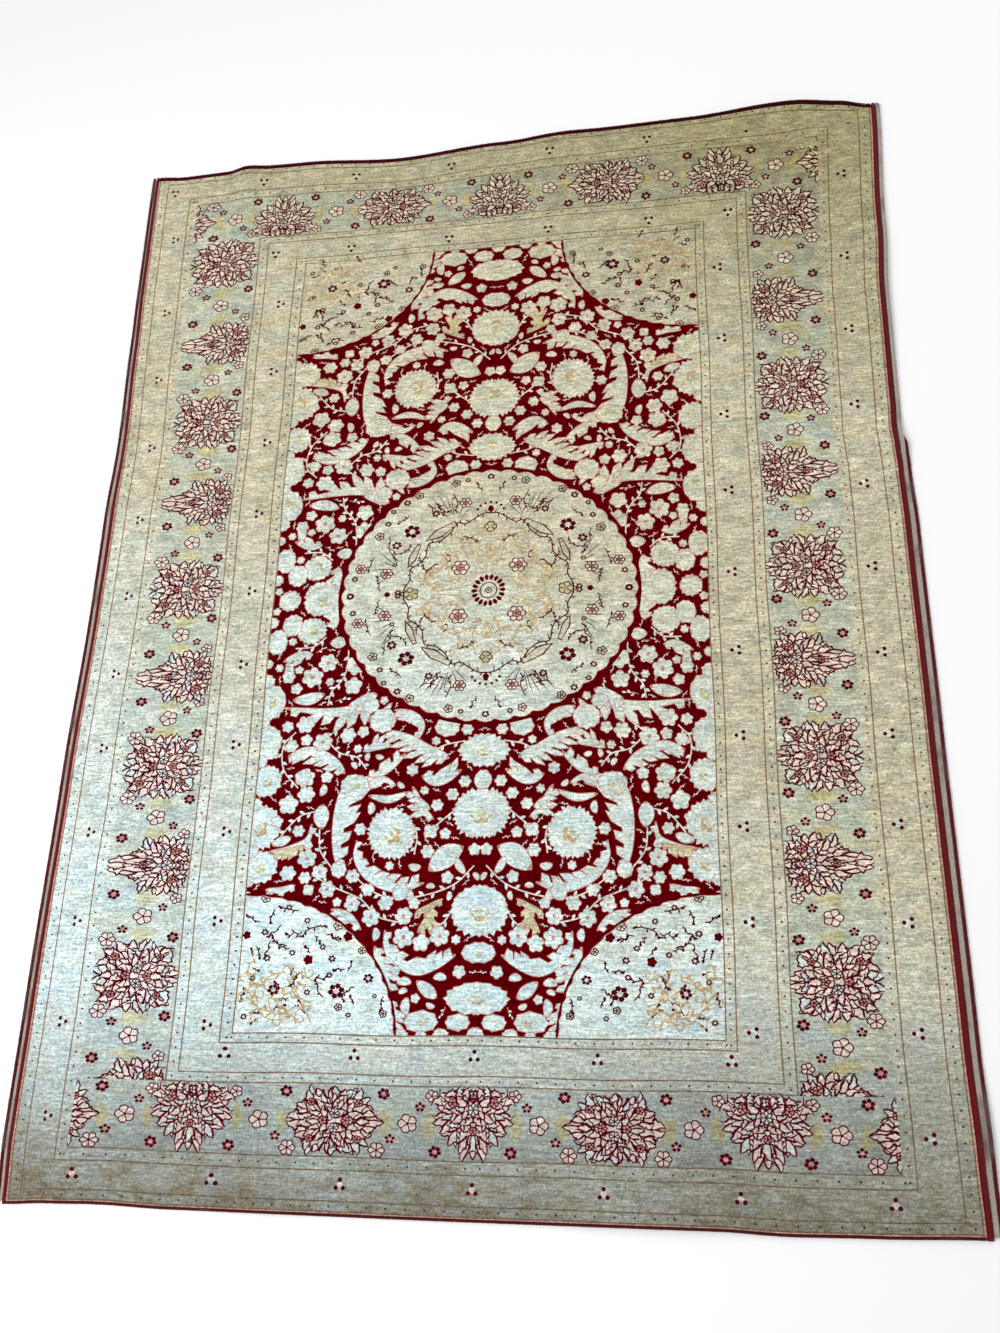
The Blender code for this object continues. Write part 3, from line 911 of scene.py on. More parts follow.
def quarter_ends(d, motif, x=0.0, y=0.0, turn=0.0):
    """Puts a motif in the far quarter and mirrored in the near one."""
    for flip in (1, -1):
        d.put(motif, x, y, turn, flip)


def put_shoots(put, line, yarn, lengths, width, left, right):
    """Small pointed shoots along a line, in turn to its left and right, at angles in degrees."""
    for k in range(1, len(line) - 1):
        way = line[k + 1] - line[k - 1]
        turn = math.degrees(math.atan2(way[1], way[0])) + (left if k % 2 else right)
        put([(yarn, petal((0, 0), (lengths[k % len(lengths)], 0), width))], *line[k], turn)


def put_ornaments(put, scrolls, twigs, growth, twig_width, flowers):
    """Gold scrolls, dark twigs and pale flowers, each from its table."""
    for x, y, turn, size in scrolls:
        put(scroll(size), x, y, turn)
    for seed, (x, y, turn, length) in enumerate(twigs):
        put(twig(growth * length, twig_width, seed), x, y, turn)
    for x, y, reach, kind in flowers:
        put(small_pale_flower(kind, reach), x, y)


def toothed_flower(half_x, half_y, teeth):
    """Ivory flower with a toothed edge, the larger ones with a blot inside."""
    squash = half_y / half_x
    teeth = round(1.3 * teeth)
    shapes = [("rose", toothed(half_x + 1.8, half_y + 1.8, teeth)), ("ivory", toothed(half_x, half_y, teeth))]
    if half_x > 28:
        blot = lobed(0.36 * half_x, 5, 0.3, squash=squash) + (-0.05 * half_x, 0.06 * half_y)
        hole = lobed(0.27 * half_x, 4, 0.3, squash=squash) + (0.05 * half_x, -0.03 * half_y)
        shapes += [("straw" if half_x < 44 else "gold", blot), ("ivory", hole),
                   ("straw", lobed(0.12 * half_x, 4, 0.3, squash=squash))]
    return shapes


def ellipse(half_x, half_y, count, lobes=0, depth=0.0):
    """Ellipse of many points, with shallow lobes if asked."""
    t = around(count)
    r = 1.0 - depth + depth * np.abs(np.cos(lobes * t / 2))
    return polar(t, half_x * r, half_y * r)


def draw_field(d, zone):
    """Ivory arabesques, leaves and flowers on crimson."""
    d.zone = zone
    first = len(d.shapes)
    put = partial(quarter_ends, d)
    for vine in FIELD_VINES:
        put(stroke("blush", vine, 2.8))
        put_shoots(put, smooth_line(vine, 3), "ivory", (13.0,), 6.5, 50, -50)
    for yarn, leaves in (("ivory", FIELD_LEAVES), ("straw", FIELD_STRAW_LEAVES)):
        for width, teeth, fat, points in leaves:
            put(leaf(yarn, points, width, teeth, fat_end=fat))
    for x, y, half_x, half_y, teeth in FIELD_FLOWERS:
        put(toothed_flower(half_x, half_y, teeth), x, y)
    for x, y, radius, lobes in FIELD_ROSETTES:
        put(rosette(radius, lobes, core="rose" if lobes > 6 else None), x, y, 10 * lobes)
    u, v = BAND_LINES["field"]
    for along, half in SIDE_BITES:
        put(toothed_flower(1.2 * half, half, 7), u, along)
    for along, half in END_BITES:
        put(toothed_flower(half, 0.8 * half, 7), along, v)
    fill_field(d, first)
    d.zone = -1


# Fillings of the field: radius, room around it
FILLINGS = ((13.5, 4.6), (9.5, 5.4), (7.0, 4.4))
FILL_STEP = 3.0


def covered(shapes, first, wide, high):
    """Which places of a fine net lie under the shapes drawn so far."""
    net = np.zeros((round(high / FILL_STEP) + 1, round(wide / FILL_STEP) + 1), bool)
    for points in shapes[first:]:
        low = np.maximum(np.floor(points.min(0) / FILL_STEP).astype(int), 0)
        top = np.minimum(np.ceil(points.max(0) / FILL_STEP).astype(int) + 1, net.shape[::-1])
        if (top <= low).any():
            continue
        x, y = np.meshgrid(np.arange(low[0], top[0]) * FILL_STEP, np.arange(low[1], top[1]) * FILL_STEP)
        inside = np.zeros(x.shape, bool)
        for (ax, ay), (bx, by) in zip(points, np.roll(points, -1, axis=0)):
            if ay != by:
                inside ^= ((ay > y) != (by > y)) & (x < ax + (y - ay) * (bx - ax) / (by - ay))
        net[low[1]:top[1], low[0]:top[0]] |= inside
    return net


def fill_field(d, first):
    """Small buds and sprigs in the crimson that is left, the roomiest places first."""
    rng = np.random.default_rng(SEED)
    u_end, v_end = BAND_LINES["field"]
    outlines = [np.array([d.points[i] for i in shape]) for shape in d.shapes]
    corner = ellipse(SPANDREL[0] + 8, SPANDREL[1] + 8, 60) + (u_end, v_end)
    middle = ellipse(MEDALLION[0] + 5, MEDALLION[1] + 5, 60)
    net = covered(outlines + [corner, middle], first, u_end, v_end)
    for radius, room in FILLINGS:
        reach, margin = int(radius / FILL_STEP), int((radius + room) / FILL_STEP)
        spots = [(i, j) for i in range(reach, net.shape[1] - reach, 2)
                 for j in range(0, net.shape[0] - reach, 2)]
        rng.shuffle(spots)
        for i, j in spots:
            if net[max(j - reach, 0):j + reach + 1, max(i - reach, 0):i + reach + 1].any():
                continue
            pick = rng.integers(6)
            if radius < 9.0 or pick == 0:
                motif = moved(sprig(1.9 * radius), -0.95 * radius, 0)
            elif pick < 3:
                motif = leaf("ivory", ((-0.95 * radius, 0), (0, 0.25 * radius), (0.95 * radius, 0)),
                             radius, rim_width=1.4)
            else:
                motif = rosette(0.80 * radius, int(rng.integers(5, 8)))
            quarter_ends(d, motif, i * FILL_STEP, j * FILL_STEP, rng.uniform(0, 360))
            net[max(j - margin, 0):j + margin + 1, max(i - margin, 0):i + margin + 1] = True


def small_pale_flower(kind, reach):
    """Flower of the medallion and the corners."""
    if kind == "dots":
        return floret(0.92 * reach, 6, "ground")
    if kind == "red":
        return rosette(0.7 * reach, 5, "crimson", "dark")
    if kind == "gold":
        return ring_flower(reach, 7, "ground", "gold", "gold")
    if kind == "dark_gold":
        return ring_flower(reach, 5, "straw", core="gold")
    if kind == "rose":
        return ring_flower(reach, 6, "blush", line=3.0) + ring_flower(0.5 * reach, 5, "rose", line=2.2)
    return ring_flower(reach, 5, "ground")


MEDALLION_LOBES = (192, 48, 0.022)
SPANDREL_LOBES = (160, 56, 0.014)

# The medallion's middle, from the outside in: yarn, radius, points
MEDALLION_CORE = (("dark", 19, 20), ("pearl", 16.5, 20), ("dark", 7.5, 10), ("ivory", 5.0, 10),
                  ("dark", 2.4, 6))


def draw_medallion(d, zone):
    """The oval in the middle, with its branch, flowers and rosette."""
    d.zone = zone
    half_x, half_y = MEDALLION
    d.shape("crimson", ellipse(half_x + MEDALLION_SURROUND, half_y + MEDALLION_SURROUND, 120))
    d.shape("rose", ellipse(half_x + RIM, half_y + RIM, *MEDALLION_LOBES))
    d.zone = d.shape("pearl", ellipse(half_x, half_y, *MEDALLION_LOBES))
    put = partial(quarter_ends, d)
    for points in MEDALLION_GOLD:
        put(stroke("gold", points, 2.8))
    put(stroke("dark", MEDALLION_BRANCH, 3.0, 3))
    for x, y, turn, size in MEDALLION_PODS:
        put(pod(size), x, y, turn)
    for base, tips in MEDALLION_FANS:
        for tip in tips:
            put([("umber", petal(0.75 * np.array(base) + 0.25 * np.array(tip), tip, 2.2))])
    for degrees in (90, 66, 42, 18):
        t = math.radians(degrees)
        put([("dark", circle(3.4, 6, 31 * math.cos(t), 186 + 24 * math.sin(t)))])
    put([("crimson", petal((0, 202), (0, 184), 15))])
    put([("crimson", petal((212, 0), (226, 0), 14)), ("dark", petal((87, 72), (93, 92), 13)),
         ("pearl", petal((88, 75), (91, 87), 7))])
    put_shoots(put, smooth_line(MEDALLION_BRANCH, 2), "dark", (7.0, 10.0, 13.0), 3.2, 55, -60)
    put_ornaments(put, MEDALLION_SCROLLS, MEDALLION_TWIGS, 1.25, 2.3, MEDALLION_FLOWERS)
    for way in circle(1.0, 18):
        d.shape("crimson", petal(way * 24, way * 38, 9.5))
    for yarn, radius, count in MEDALLION_CORE:
        d.shape(yarn, circle(radius, count))
    d.zone = -1


def draw_spandrels(d, zone):
    """The corner pieces: first both grounds, then what is on them."""
    d.zone = zone
    u, v = BAND_LINES["field"]
    half_x, half_y = SPANDREL
    grounds = {}
    for sign, yarn in ((1, "ground"), (-1, "pearl")):
        corner = np.array([u, sign * v])
        surround = ellipse(half_x + SPANDREL_SURROUND, half_y + SPANDREL_SURROUND, 120)
        outline = ellipse(half_x, half_y, *SPANDREL_LOBES) * (1, sign)
        d.shape("crimson", surround * (1, sign) + corner)
        d.shape("rose", outline * (1 + RIM / half_x) + corner)
        grounds[sign] = d.shape(yarn, outline + corner)
    rng = np.random.default_rng(SEED)
    for sign, ground in grounds.items():
        d.zone = ground
        put = partial(d.put, flip=sign)
        for seed in range(SPANDREL_SPRIGS):
            share, way = rng.uniform(0.15, 0.92), rng.uniform(0.08, 1.5)
            x, y = u - share * half_x * math.cos(way), v - share * half_y * math.sin(way)
            put(twig(rng.uniform(13, 24), 2.4, seed), x, y, rng.uniform(0, 360))
        for points in SPANDREL_GOLD:
            put(stroke("gold", points, 2.8))
        put_ornaments(put, SPANDREL_SCROLLS, SPANDREL_TWIGS, 1.2, 2.6, SPANDREL_FLOWERS)
    d.zone = -1


def draw_rug():
    d = Drawing()
    border, field = draw_frames(d)
    draw_guard_dots(d)
    draw_main_border(d, border)
    draw_triads(d)
    draw_field(d, field)
    draw_spandrels(d, field)
    draw_medallion(d, field)
    return d


NET_STEP = 22.0


def net_points():
    """Places of a wide net, so that large areas can follow the cloth too."""
    half_u, half_v = BAND_LINES["edge"]
    return [Vector((x, y)) for x in np.arange(NET_STEP / 2, half_u, NET_STEP)
            for y in np.arange(-half_v + NET_STEP / 2, half_v, NET_STEP)]


def cut_drawing(d):
    """Splits the half drawing into triangles, each of one yarn; the other half mirrors it."""
    cut = delaunay_2d_cdt([Vector(p) for p in d.points] + net_points(), [], d.shapes, 0, 0.01, True)
    points = np.array([tuple(p) for p in cut[0]])
    triangles, yarns = [], []
    for corners, inside in zip(cut[2], cut[5]):
        held = set(inside)
        if 0 not in held:
            continue
        for shape in sorted(held, reverse=True):
            if d.zones[shape] < 0 or d.zones[shape] in held:
                break
        triangles.append(corners)
        yarns.append(d.yarns[shape])
    return points, np.array(triangles), np.array(yarns)


def merge_areas(points, triangles, yarns):
    """Cuts the drawing again along the colour borders alone, which needs far fewer triangles."""
    size = len(points)
    start, end = triangles.ravel(), np.roll(triangles, -1, axis=1).ravel()
    owner = np.repeat(yarns, 3)
    key, back = start * size + end, end * size + start
    order = np.argsort(key)
    found = order[np.minimum(np.searchsorted(key, back, sorter=order), len(key) - 1)]
    other = np.where(key[found] == back, owner[found], -1)
    kept = (other != owner) & ((start < end) | (other < 0))
    borders = np.stack([start[kept], end[kept]], 1)
    left, right = owner[kept], other[kept]
    used, index = np.unique(borders, return_inverse=True)
    index = index.reshape(-1, 2)
    verts = [Vector(p) for p in points[used]] + net_points()
    cut = delaunay_2d_cdt(verts, [tuple(edge) for edge in index.tolist()], [], 0, 0.001, True)
    spots = np.array([tuple(p) for p in cut[0]])
    sides = {}
    for (a, b), sources in zip(cut[1], cut[4]):
        if not sources:
            continue
        row = sources[0]
        way = points[borders[row, 1]] - points[borders[row, 0]]
        same = float(np.dot(spots[b] - spots[a], way)) > 0
        sides[a, b] = left[row] if same else right[row]
        sides[b, a] = right[row] if same else left[row]
    faces = [tuple(face) for face in cut[2]]
    holders = {}
    colour = np.full(len(faces), -1)
    ready = []
    for number, face in enumerate(faces):
        for edge in zip(face, face[1:] + face[:1]):
            holders[edge] = number
            if edge in sides and sides[edge] >= 0:
                colour[number] = sides[edge]
        if colour[number] >= 0:
            ready.append(number)
    while ready:
        number = ready.pop()
        face = faces[number]
        for a, b in zip(face, face[1:] + face[:1]):
            beside = holders.get((b, a))
            if beside is not None and (a, b) not in sides and colour[beside] < 0:
                colour[beside] = colour[number]
                ready.append(beside)
    return spots, np.array(faces), colour


def mesh_from(name, points, triangles, normals=None):
    mesh = bpy.data.meshes.new(name)
    mesh.vertices.add(len(points))
    mesh.vertices.foreach_set("co", points.astype(np.float32).ravel())
    mesh.loops.add(triangles.size)
    mesh.loops.foreach_set("vertex_index", triangles.astype(np.int32).ravel())
    mesh.polygons.add(len(triangles))
    sides = triangles.shape[1]
    mesh.polygons.foreach_set("loop_start", np.arange(0, triangles.size, sides, dtype=np.int32))
    mesh.polygons.foreach_set("use_smooth", np.ones(len(triangles), bool))
    mesh.update(calc_edges=True)
    if normals is not None:
        mesh.normals_split_custom_set_from_vertices(normals.astype(np.float32))
    return mesh


def add_piece(name, mesh, material, replaces=()):
    obj = bpy.data.objects.new(name, mesh)
    bpy.context.scene.collection.objects.link(obj)
    mesh.materials.append(material)
    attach(obj, BODY)
    if replaces:
        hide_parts(*replaces)
    return obj


def build_pile(materials):
    """One mesh for each yarn colour, both halves, laid on the cloth's surface."""
    points, triangles, yarns = merge_areas(*cut_drawing(draw_rug()))
    both = np.vstack([points, points * (-1, 1)]) * MM
    triangles = np.vstack([triangles, triangles[:, ::-1] + len(points)])
    yarns = np.concatenate([yarns, yarns])
    x, y = lay_flat(*drifted(both[:, 0], both[:, 1]))
    laid = place(x, y, PILE_THICKNESS)
    normals = surface_normals(x, y)
    span = np.array([2 * PILE_HALF_WIDTH, 2 * PILE_HALF_LENGTH])
    pieces = []
    for number, yarn in enumerate(YARNS):
        used, index = np.unique(triangles[yarns == number], return_inverse=True)
        mesh = mesh_from("pile_" + yarn, laid[used], index.reshape(-1, 3), normals[used])
        flat = mesh.uv_layers.new(name="OFBake")
        corners = both[used][index.ravel()]
        flat.data.foreach_set("uv", (corners / span + 0.5).astype(np.float32).ravel())
        pieces.append(add_piece("pile_" + yarn, mesh, materials[yarn]))
    return pieces


# Materials

def node(tree, kind, **values):
    made = tree.nodes.new(kind)
    for key, value in values.items():
        setattr(made, key, value)
    return made


YARN_SPECULAR = 0.12
SHEEN_ROUGHNESS = 0.45


def new_material(name, roughness, sheen=0.0):
    material = bpy.data.materials.new(name)
    material.use_nodes = True
    shader = material.node_tree.nodes["Principled BSDF"]
    shader.inputs["Roughness"].default_value = roughness
    shader.inputs["Specular IOR Level"].default_value = YARN_SPECULAR
    shader.inputs["Sheen Weight"].default_value = sheen
    shader.inputs["Sheen Roughness"].default_value = SHEEN_ROUGHNESS
    return material, material.node_tree, shader


def noise(tree, coords, scale, stretch=(1, 1, 1), detail=2.0):
    mapping = node(tree, "ShaderNodeMapping")
    mapping.inputs["Scale"].default_value = stretch
    tree.links.new(coords, mapping.inputs["Vector"])
    made = node(tree, "ShaderNodeTexNoise")
    made.inputs["Scale"].default_value = scale
    made.inputs["Detail"].default_value = detail
    tree.links.new(mapping.outputs["Vector"], made.inputs["Vector"])
    return made.outputs["Fac"]


def spread(tree, value, low, high, to_low=0.0, to_high=1.0):
    made = node(tree, "ShaderNodeMapRange")
    for key, number in (("From Min", low), ("From Max", high), ("To Min", to_low), ("To Max", to_high)):
        made.inputs[key].default_value = number
    tree.links.new(value, made.inputs["Value"])
    return made.outputs["Result"]


def mix(tree, factor, a, b, blend="MIX"):
    made = node(tree, "ShaderNodeMix", data_type="RGBA", blend_type=blend)
    for socket, value in ((made.inputs[0], factor), (made.inputs[6], a), (made.inputs[7], b)):
        if isinstance(value, bpy.types.NodeSocket):
            tree.links.new(value, socket)
        elif isinstance(value, (int, float)):
            socket.default_value = value
        else:
            socket.default_value = (*value, 1.0)
    return made.outputs[2]


def srgb(r, g, b):
    """Linear colour from the 0 to 255 values of a screen."""
    return tuple((c / 255 / 12.92) if c <= 10 else ((c / 255 + 0.055) / 1.055) ** 2.4 for c in (r, g, b))


def math_node(tree, operation, a, b):
    made = node(tree, "ShaderNodeMath", operation=operation)
    for socket, value in zip(made.inputs, (a, b)):
        if isinstance(value, bpy.types.NodeSocket):
            tree.links.new(value, socket)
        else:
            socket.default_value = value
    return made.outputs[0]


# Yarn colours from 0 to 255: in the middle; at the far end, darkened as painted shade; at the near left,
# paled as painted sheen; at the near edge, darkened as painted shadow
PILE_LOOKS = {
    "ground": dict(colour=(194, 188, 162), far=(161, 153, 115), painted_sheen=(208, 224, 226), near=(112, 105, 87),
                   mottle=0.55, streak=0.2),
    "aqua": dict(colour=(186, 188, 168), far=(146, 138, 104), painted_sheen=(192, 206, 204), near=(112, 112, 106),
                 mottle=0.7, streak=0.2),
    "ivory": dict(colour=(202, 199, 174), far=(184, 175, 136), painted_sheen=(204, 224, 226), near=(174, 171, 158),
                  mottle=0.5, streak=0.16, painted_sheen_start=-0.05),
    "crimson": dict(colour=(86, 0, 7), streak=0.2, speckle=0.3, sheen=0.0),
    "rose": dict(colour=(190, 138, 126), sheen=0.0),
    "blush": dict(colour=(222, 203, 186), far=(202, 182, 150), painted_sheen=(228, 216, 212), near=(178, 160, 150),
                  mottle=0.3),
    "dark": dict(colour=(76, 4, 22), far=(46, 12, 14), streak=0.2, speckle=0.3, sheen=0.0),
    "straw": dict(colour=(190, 182, 138), far=(164, 150, 102), painted_sheen=(198, 202, 172), near=(118, 108, 74),
                  mottle=0.6, streak=0.2),
    "gold": dict(colour=(186, 162, 120), far=(164, 134, 92), sheen=0.0),
    "line": dict(colour=(134, 108, 78), far=(118, 98, 66), near=(104, 94, 80), sheen=0.0),
    "umber": dict(colour=(70, 50, 42), sheen=0.0),
    "pearl": dict(colour=(197, 192, 166), far=(182, 172, 136), painted_sheen=(214, 234, 236), near=(174, 171, 158),
                  mottle=0.6, streak=0.2, painted_sheen_start=0.12),
}

# Patches of another dye: scale, stretch, where they start, tint
MOTTLES = (
    (13.0, (1.0, 1.5, 1.0), 0.44, (1.0, 0.955, 0.80)),
    (11.0, (1.2, 1.9, 1.0), 0.46, (0.82, 0.93, 1.02)),
)
PILE_ROUGHNESS = 0.7


def pile_material(name, colour, far=None, painted_sheen=None, near=None, mottle=0.0, streak=0.12, speckle=0.24,
                  sheen=0.12, painted_sheen_start=0.40):
    """Knotted yarn: colour by place on the rug, with painted shade at the far end, painted sheen at the near
    left and painted shadow at the near edge; mottling, dye streaks, single knots, soft bump.
    """
    material, tree, shader = new_material(name, PILE_ROUGHNESS, sheen)
    if sheen == 0.0:
        shader.inputs["Specular IOR Level"].default_value = 0.0
    coords = node(tree, "ShaderNodeTexCoord").outputs["Object"]
    split = node(tree, "ShaderNodeSeparateXYZ")
    tree.links.new(coords, split.inputs[0])
    drift = noise(tree, coords, 2.6, detail=3.0)
    patches = noise(tree, coords, 30.0, (1.0, 1.3, 1.0), 5.0)
    sources = (split.outputs["X"], split.outputs["Y"], drift, patches)

    def slope(shares, start, end):
        parts = [math_node(tree, "MULTIPLY", source, share) for source, share in zip(sources, shares)]
        return spread(tree, reduce(partial(math_node, tree, "ADD"), parts), start, end)

    shade = srgb(*colour)
    # Painted shade: darker and more olive towards the far end and the far right corner, where the silk shows
    # less sheen and the ripple shades the corner
    if far:
        shade = mix(tree, slope((0.42, 1.0, 0.4, 0.0), 0.88, 1.62), shade, srgb(*far))
    # Painted sheen: paler and bluer towards the near left, where the silk catches the light
    if painted_sheen:
        painted_sheen_mask = slope((-0.55, -0.90, 0.6, 0.0), painted_sheen_start, painted_sheen_start + 1.0)
        shade = mix(tree, painted_sheen_mask, shade, srgb(*painted_sheen))
    if mottle:
        for scale, stretch, start, tint in MOTTLES:
            patch = spread(tree, noise(tree, coords, scale, stretch, 5.0), start, 0.66, 0.0, mottle)
            shade = mix(tree, patch, shade, tint, "MULTIPLY")
    # Painted shadow: darker and grey-brown, in blotches, towards the near edge
    if near:
        shade = mix(tree, slope((-0.01, -1.0, 0.35, 0.45), 1.20, 1.66), shade, srgb(*near))
    streaks = noise(tree, coords, 1.0, (16.0, 120.0, 1.0), 4.0)
    tufts = noise(tree, coords, 130.0, (1.0, 1.3, 1.0), 3.0)
    lines = noise(tree, coords, 1.0, (34.0, 430.0, 1.0), 3.0)
    knots = noise(tree, coords, 300.0, (1.0, 0.9, 1.0), 2.0)
    for value, amount in ((streaks, 0.7 * streak), (patches, 0.8 * streak), (tufts, speckle),
                          (lines, speckle), (knots, speckle)):
        grey = spread(tree, value, 0.34, 0.66, 1.0 - amount, 1.0 + amount)
        shade = mix(tree, 1.0, shade, grey, "MULTIPLY")
    tree.links.new(shade, shader.inputs["Base Color"])
    bump_node = node(tree, "ShaderNodeBump")
    bump_node.inputs["Strength"].default_value = 0.5
    bump_node.inputs["Distance"].default_value = 0.0010
    rows = noise(tree, coords, 1.0, (260.0, 420.0, 1.0), 1.0)
    height = math_node(tree, "ADD", rows, math_node(tree, "MULTIPLY", streaks, 0.8))
    tree.links.new(height, bump_node.inputs["Height"])
    tree.links.new(bump_node.outputs["Normal"], shader.inputs["Normal"])
    return material


def yarn_material(name, colour, worn, worn_share, roughness=0.75):
    """Overcast yarn with worn, greyed places; colours from 0 to 255."""
    material, tree, shader = new_material(name, roughness, 0.2)
    coords = node(tree, "ShaderNodeTexCoord").outputs["Object"]
    patches = noise(tree, coords, 9.0, detail=4.0)
    shade = mix(tree, spread(tree, patches, worn_share, worn_share + 0.18), srgb(*colour), srgb(*worn))
    fibres = noise(tree, coords, 500.0, detail=2.0)
    shade = mix(tree, 1.0, shade, spread(tree, fibres, 0.3, 0.7, 0.72, 1.25), "MULTIPLY")
    tree.links.new(shade, shader.inputs["Base Color"])
    return material


# Foundation, cords, webs and bindings

def grid_faces(rows, columns, closed=False):
    """Quads of a grid of points, row by row."""
    across = columns if closed else columns - 1
    j, i = np.meshgrid(np.arange(rows - 1), np.arange(across), indexing="ij")
    a = j * columns + i
    b = j * columns + (i + 1) % columns
    return np.stack([a, b, b + columns, a + columns], 2).reshape(-1, 4)


FOUNDATION_STEP = 0.03
FOUNDATION_DROP = 0.0005


def build_foundation(material):
    """The knotted web under the pile: a closed sheet with upright edges."""
    rows, columns = [np.linspace(-half, half, round(2 * half / FOUNDATION_STEP) + 1)
                     for half in (PILE_HALF_LENGTH, PILE_HALF_WIDTH)]
    v, u = [a.ravel() for a in np.meshgrid(rows, columns, indexing="ij")]
    x, y = lay_flat(u, v)
    under = place(x, y, 0.0)
    over = place(x, y, PILE_THICKNESS - FOUNDATION_DROP)
    count, wide = len(rows), len(columns)
    faces = grid_faces(count, wide)
    top = faces + len(under)
    ring = np.concatenate([np.arange(wide), np.arange(1, count) * wide + wide - 1,
                           (count - 1) * wide + np.arange(wide - 2, -1, -1),
                           np.arange(count - 2, 0, -1) * wide])
    after = np.roll(ring, -1)
    rim = np.stack([ring, after, after + len(under), ring + len(under)], 1)
    quads = np.vstack([faces[:, ::-1], top, rim])
    mesh = mesh_from("rug_foundation", np.vstack([under, over]), quads)
    mesh.polygons.foreach_set("use_smooth", np.zeros(len(quads), bool))
    return add_piece("rug_foundation", mesh, material, ("rug_body",))


CORD_SECTION = ((-1.00, 0.30), (-0.90, 0.66), (-0.55, 0.93), (0.0, 1.03), (0.55, 0.93), (0.90, 0.66),
                (1.00, 0.30), (0.70, 0.0), (-0.70, 0.0))
WRAP_PITCH = 0.0036
WRAP_ROWS = 3
WRAP_DEPTH = 0.09
WRAP_UNEVEN = 0.035


def overcast_cord(name, base, side, widths, height, material, node_name, rng):
    """Cord of many yarn wraps: a tube whose section swells at each wrap."""
    count = len(base)
    up = np.array([0.0, 0.0, 1.0])
    phase = np.arange(count) % WRAP_ROWS
    swell = np.where(phase == 0, 1.0 - WRAP_DEPTH, 1.0)
    wrap = np.arange(count) // WRAP_ROWS
    uneven = 1.0 + rng.normal(0.0, WRAP_UNEVEN, wrap.max() + 1)[wrap]
    section = np.array(CORD_SECTION)
    rings = []
    for out, rise in section:
        spot = base + side * (out * 0.5 * widths * swell * uneven)[:, None]
        rings.append(spot + up * (rise * height * (swell * uneven if rise > 0 else np.ones(count)))[:, None])
    points = np.stack(rings, 1).reshape(-1, 3)
    wide = len(section)
    quads = grid_faces(count, wide, closed=True)
    mesh = mesh_from(name, points, quads)
    close_ends(mesh, wide, count)
    return add_piece(name, mesh, material, (node_name,))


def close_ends(mesh, wide, count):
    """Caps both ends of a tube and turns its faces outwards."""
    bm = bmesh.new()
    bm.from_mesh(mesh)
    bm.verts.ensure_lookup_table()
    bm.faces.new([bm.verts[i] for i in range(wide)])
    bm.faces.new([bm.verts[(count - 1) * wide + i] for i in range(wide)][::-1])
    bmesh.ops.recalc_face_normals(bm, faces=bm.faces[:])
    bm.to_mesh(mesh)
    bm.free()


def wrap_stops(start, end):
    return np.linspace(start, end, round((end - start) / WRAP_PITCH * WRAP_ROWS) + 1)


def build_side(side, word, materials, rng):
    """Both cords and the web of one long side."""
    past = GAP + END_BINDING_WIDTH
    v = wrap_stops(-PILE_HALF_LENGTH, PILE_HALF_LENGTH)
    beyond = np.zeros_like(v)
    beyond[0], beyond[-1] = -past, past
    _, inner_width, web_width, fold = read_rows(side_table(side), v).T
    start = 2 * GAP + inner_width
    out = np.array([side, 0.0, 0.0])
    base = side_points(side, v, GAP + 0.5 * inner_width, 0.0, beyond)
    inner = overcast_cord("cord_inner_" + word, base, out, inner_width, INNER_CORD_HEIGHT,
                          materials["crimson"], "inner_cord_" + word, rng)
    flat_place = start + web_width + GAP + 0.5 * OUTER_CORD_WIDTH
    under_place = start + 0.5 * OUTER_CORD_WIDTH
    centre = flat_place + (under_place - flat_place) * ease(fold - 1.0)
    base = side_points(side, v, centre, 0.0, beyond)
    outer = overcast_cord("cord_outer_" + word, base, out, OUTER_CORD_WIDTH,
                          OUTER_CORD_HEIGHT, materials["outer"], "outer_cord_" + word, rng)
    return [inner, outer, build_web(side, word, materials["web"], rng)]


WEB_ROW_STEP = 0.0030
WEB_FRAY = 0.00022
WEB_ROUGH = 0.00018


def build_web(side, word, material, rng):
    """Strip of bare, fraying web, lying flat or folded over the outer cord."""
    v = np.linspace(-PILE_HALF_LENGTH, PILE_HALF_LENGTH, round(2 * PILE_HALF_LENGTH / WEB_ROW_STEP))
    _, inner_width, width, fold = read_rows(side_table(side), v).T
    start = 2 * GAP + inner_width
    step = np.minimum(fold.astype(int), len(WEB_STEPS) - 2)
    share = ease(fold - step)
    steps = np.array(WEB_STEPS)
    outline = steps[step] + (steps[step + 1] - steps[step]) * share[:, None, None]
    columns = np.linspace(0, 3, 7)
    low = np.minimum(columns.astype(int), 2)
    part = columns - low
    across = outline[:, low] + (outline[:, low + 1] - outline[:, low]) * part[None, :, None]
    points = []
    for k in range(len(columns)):
        ragged = rng.normal(0.0, WEB_FRAY, len(v))
        outward = start + across[:, k, 0] * width + (ragged if k == len(columns) - 1 else 0.0)
        height = across[:, k, 1] + rng.normal(0.0, WEB_ROUGH, len(v))
        points.append(side_points(side, v, outward, height))
    mesh = mesh_from("web_" + word, np.stack(points, 1).reshape(-1, 3),
                     grid_faces(len(v), len(columns))[:, ::-side])
    web = add_piece("web_" + word, mesh, material, ("side_web_" + word,))
    solid = web.modifiers.new("thickness", "SOLIDIFY")
    solid.thickness = WEB_THICKNESS
    solid.offset = 0.0
    return web


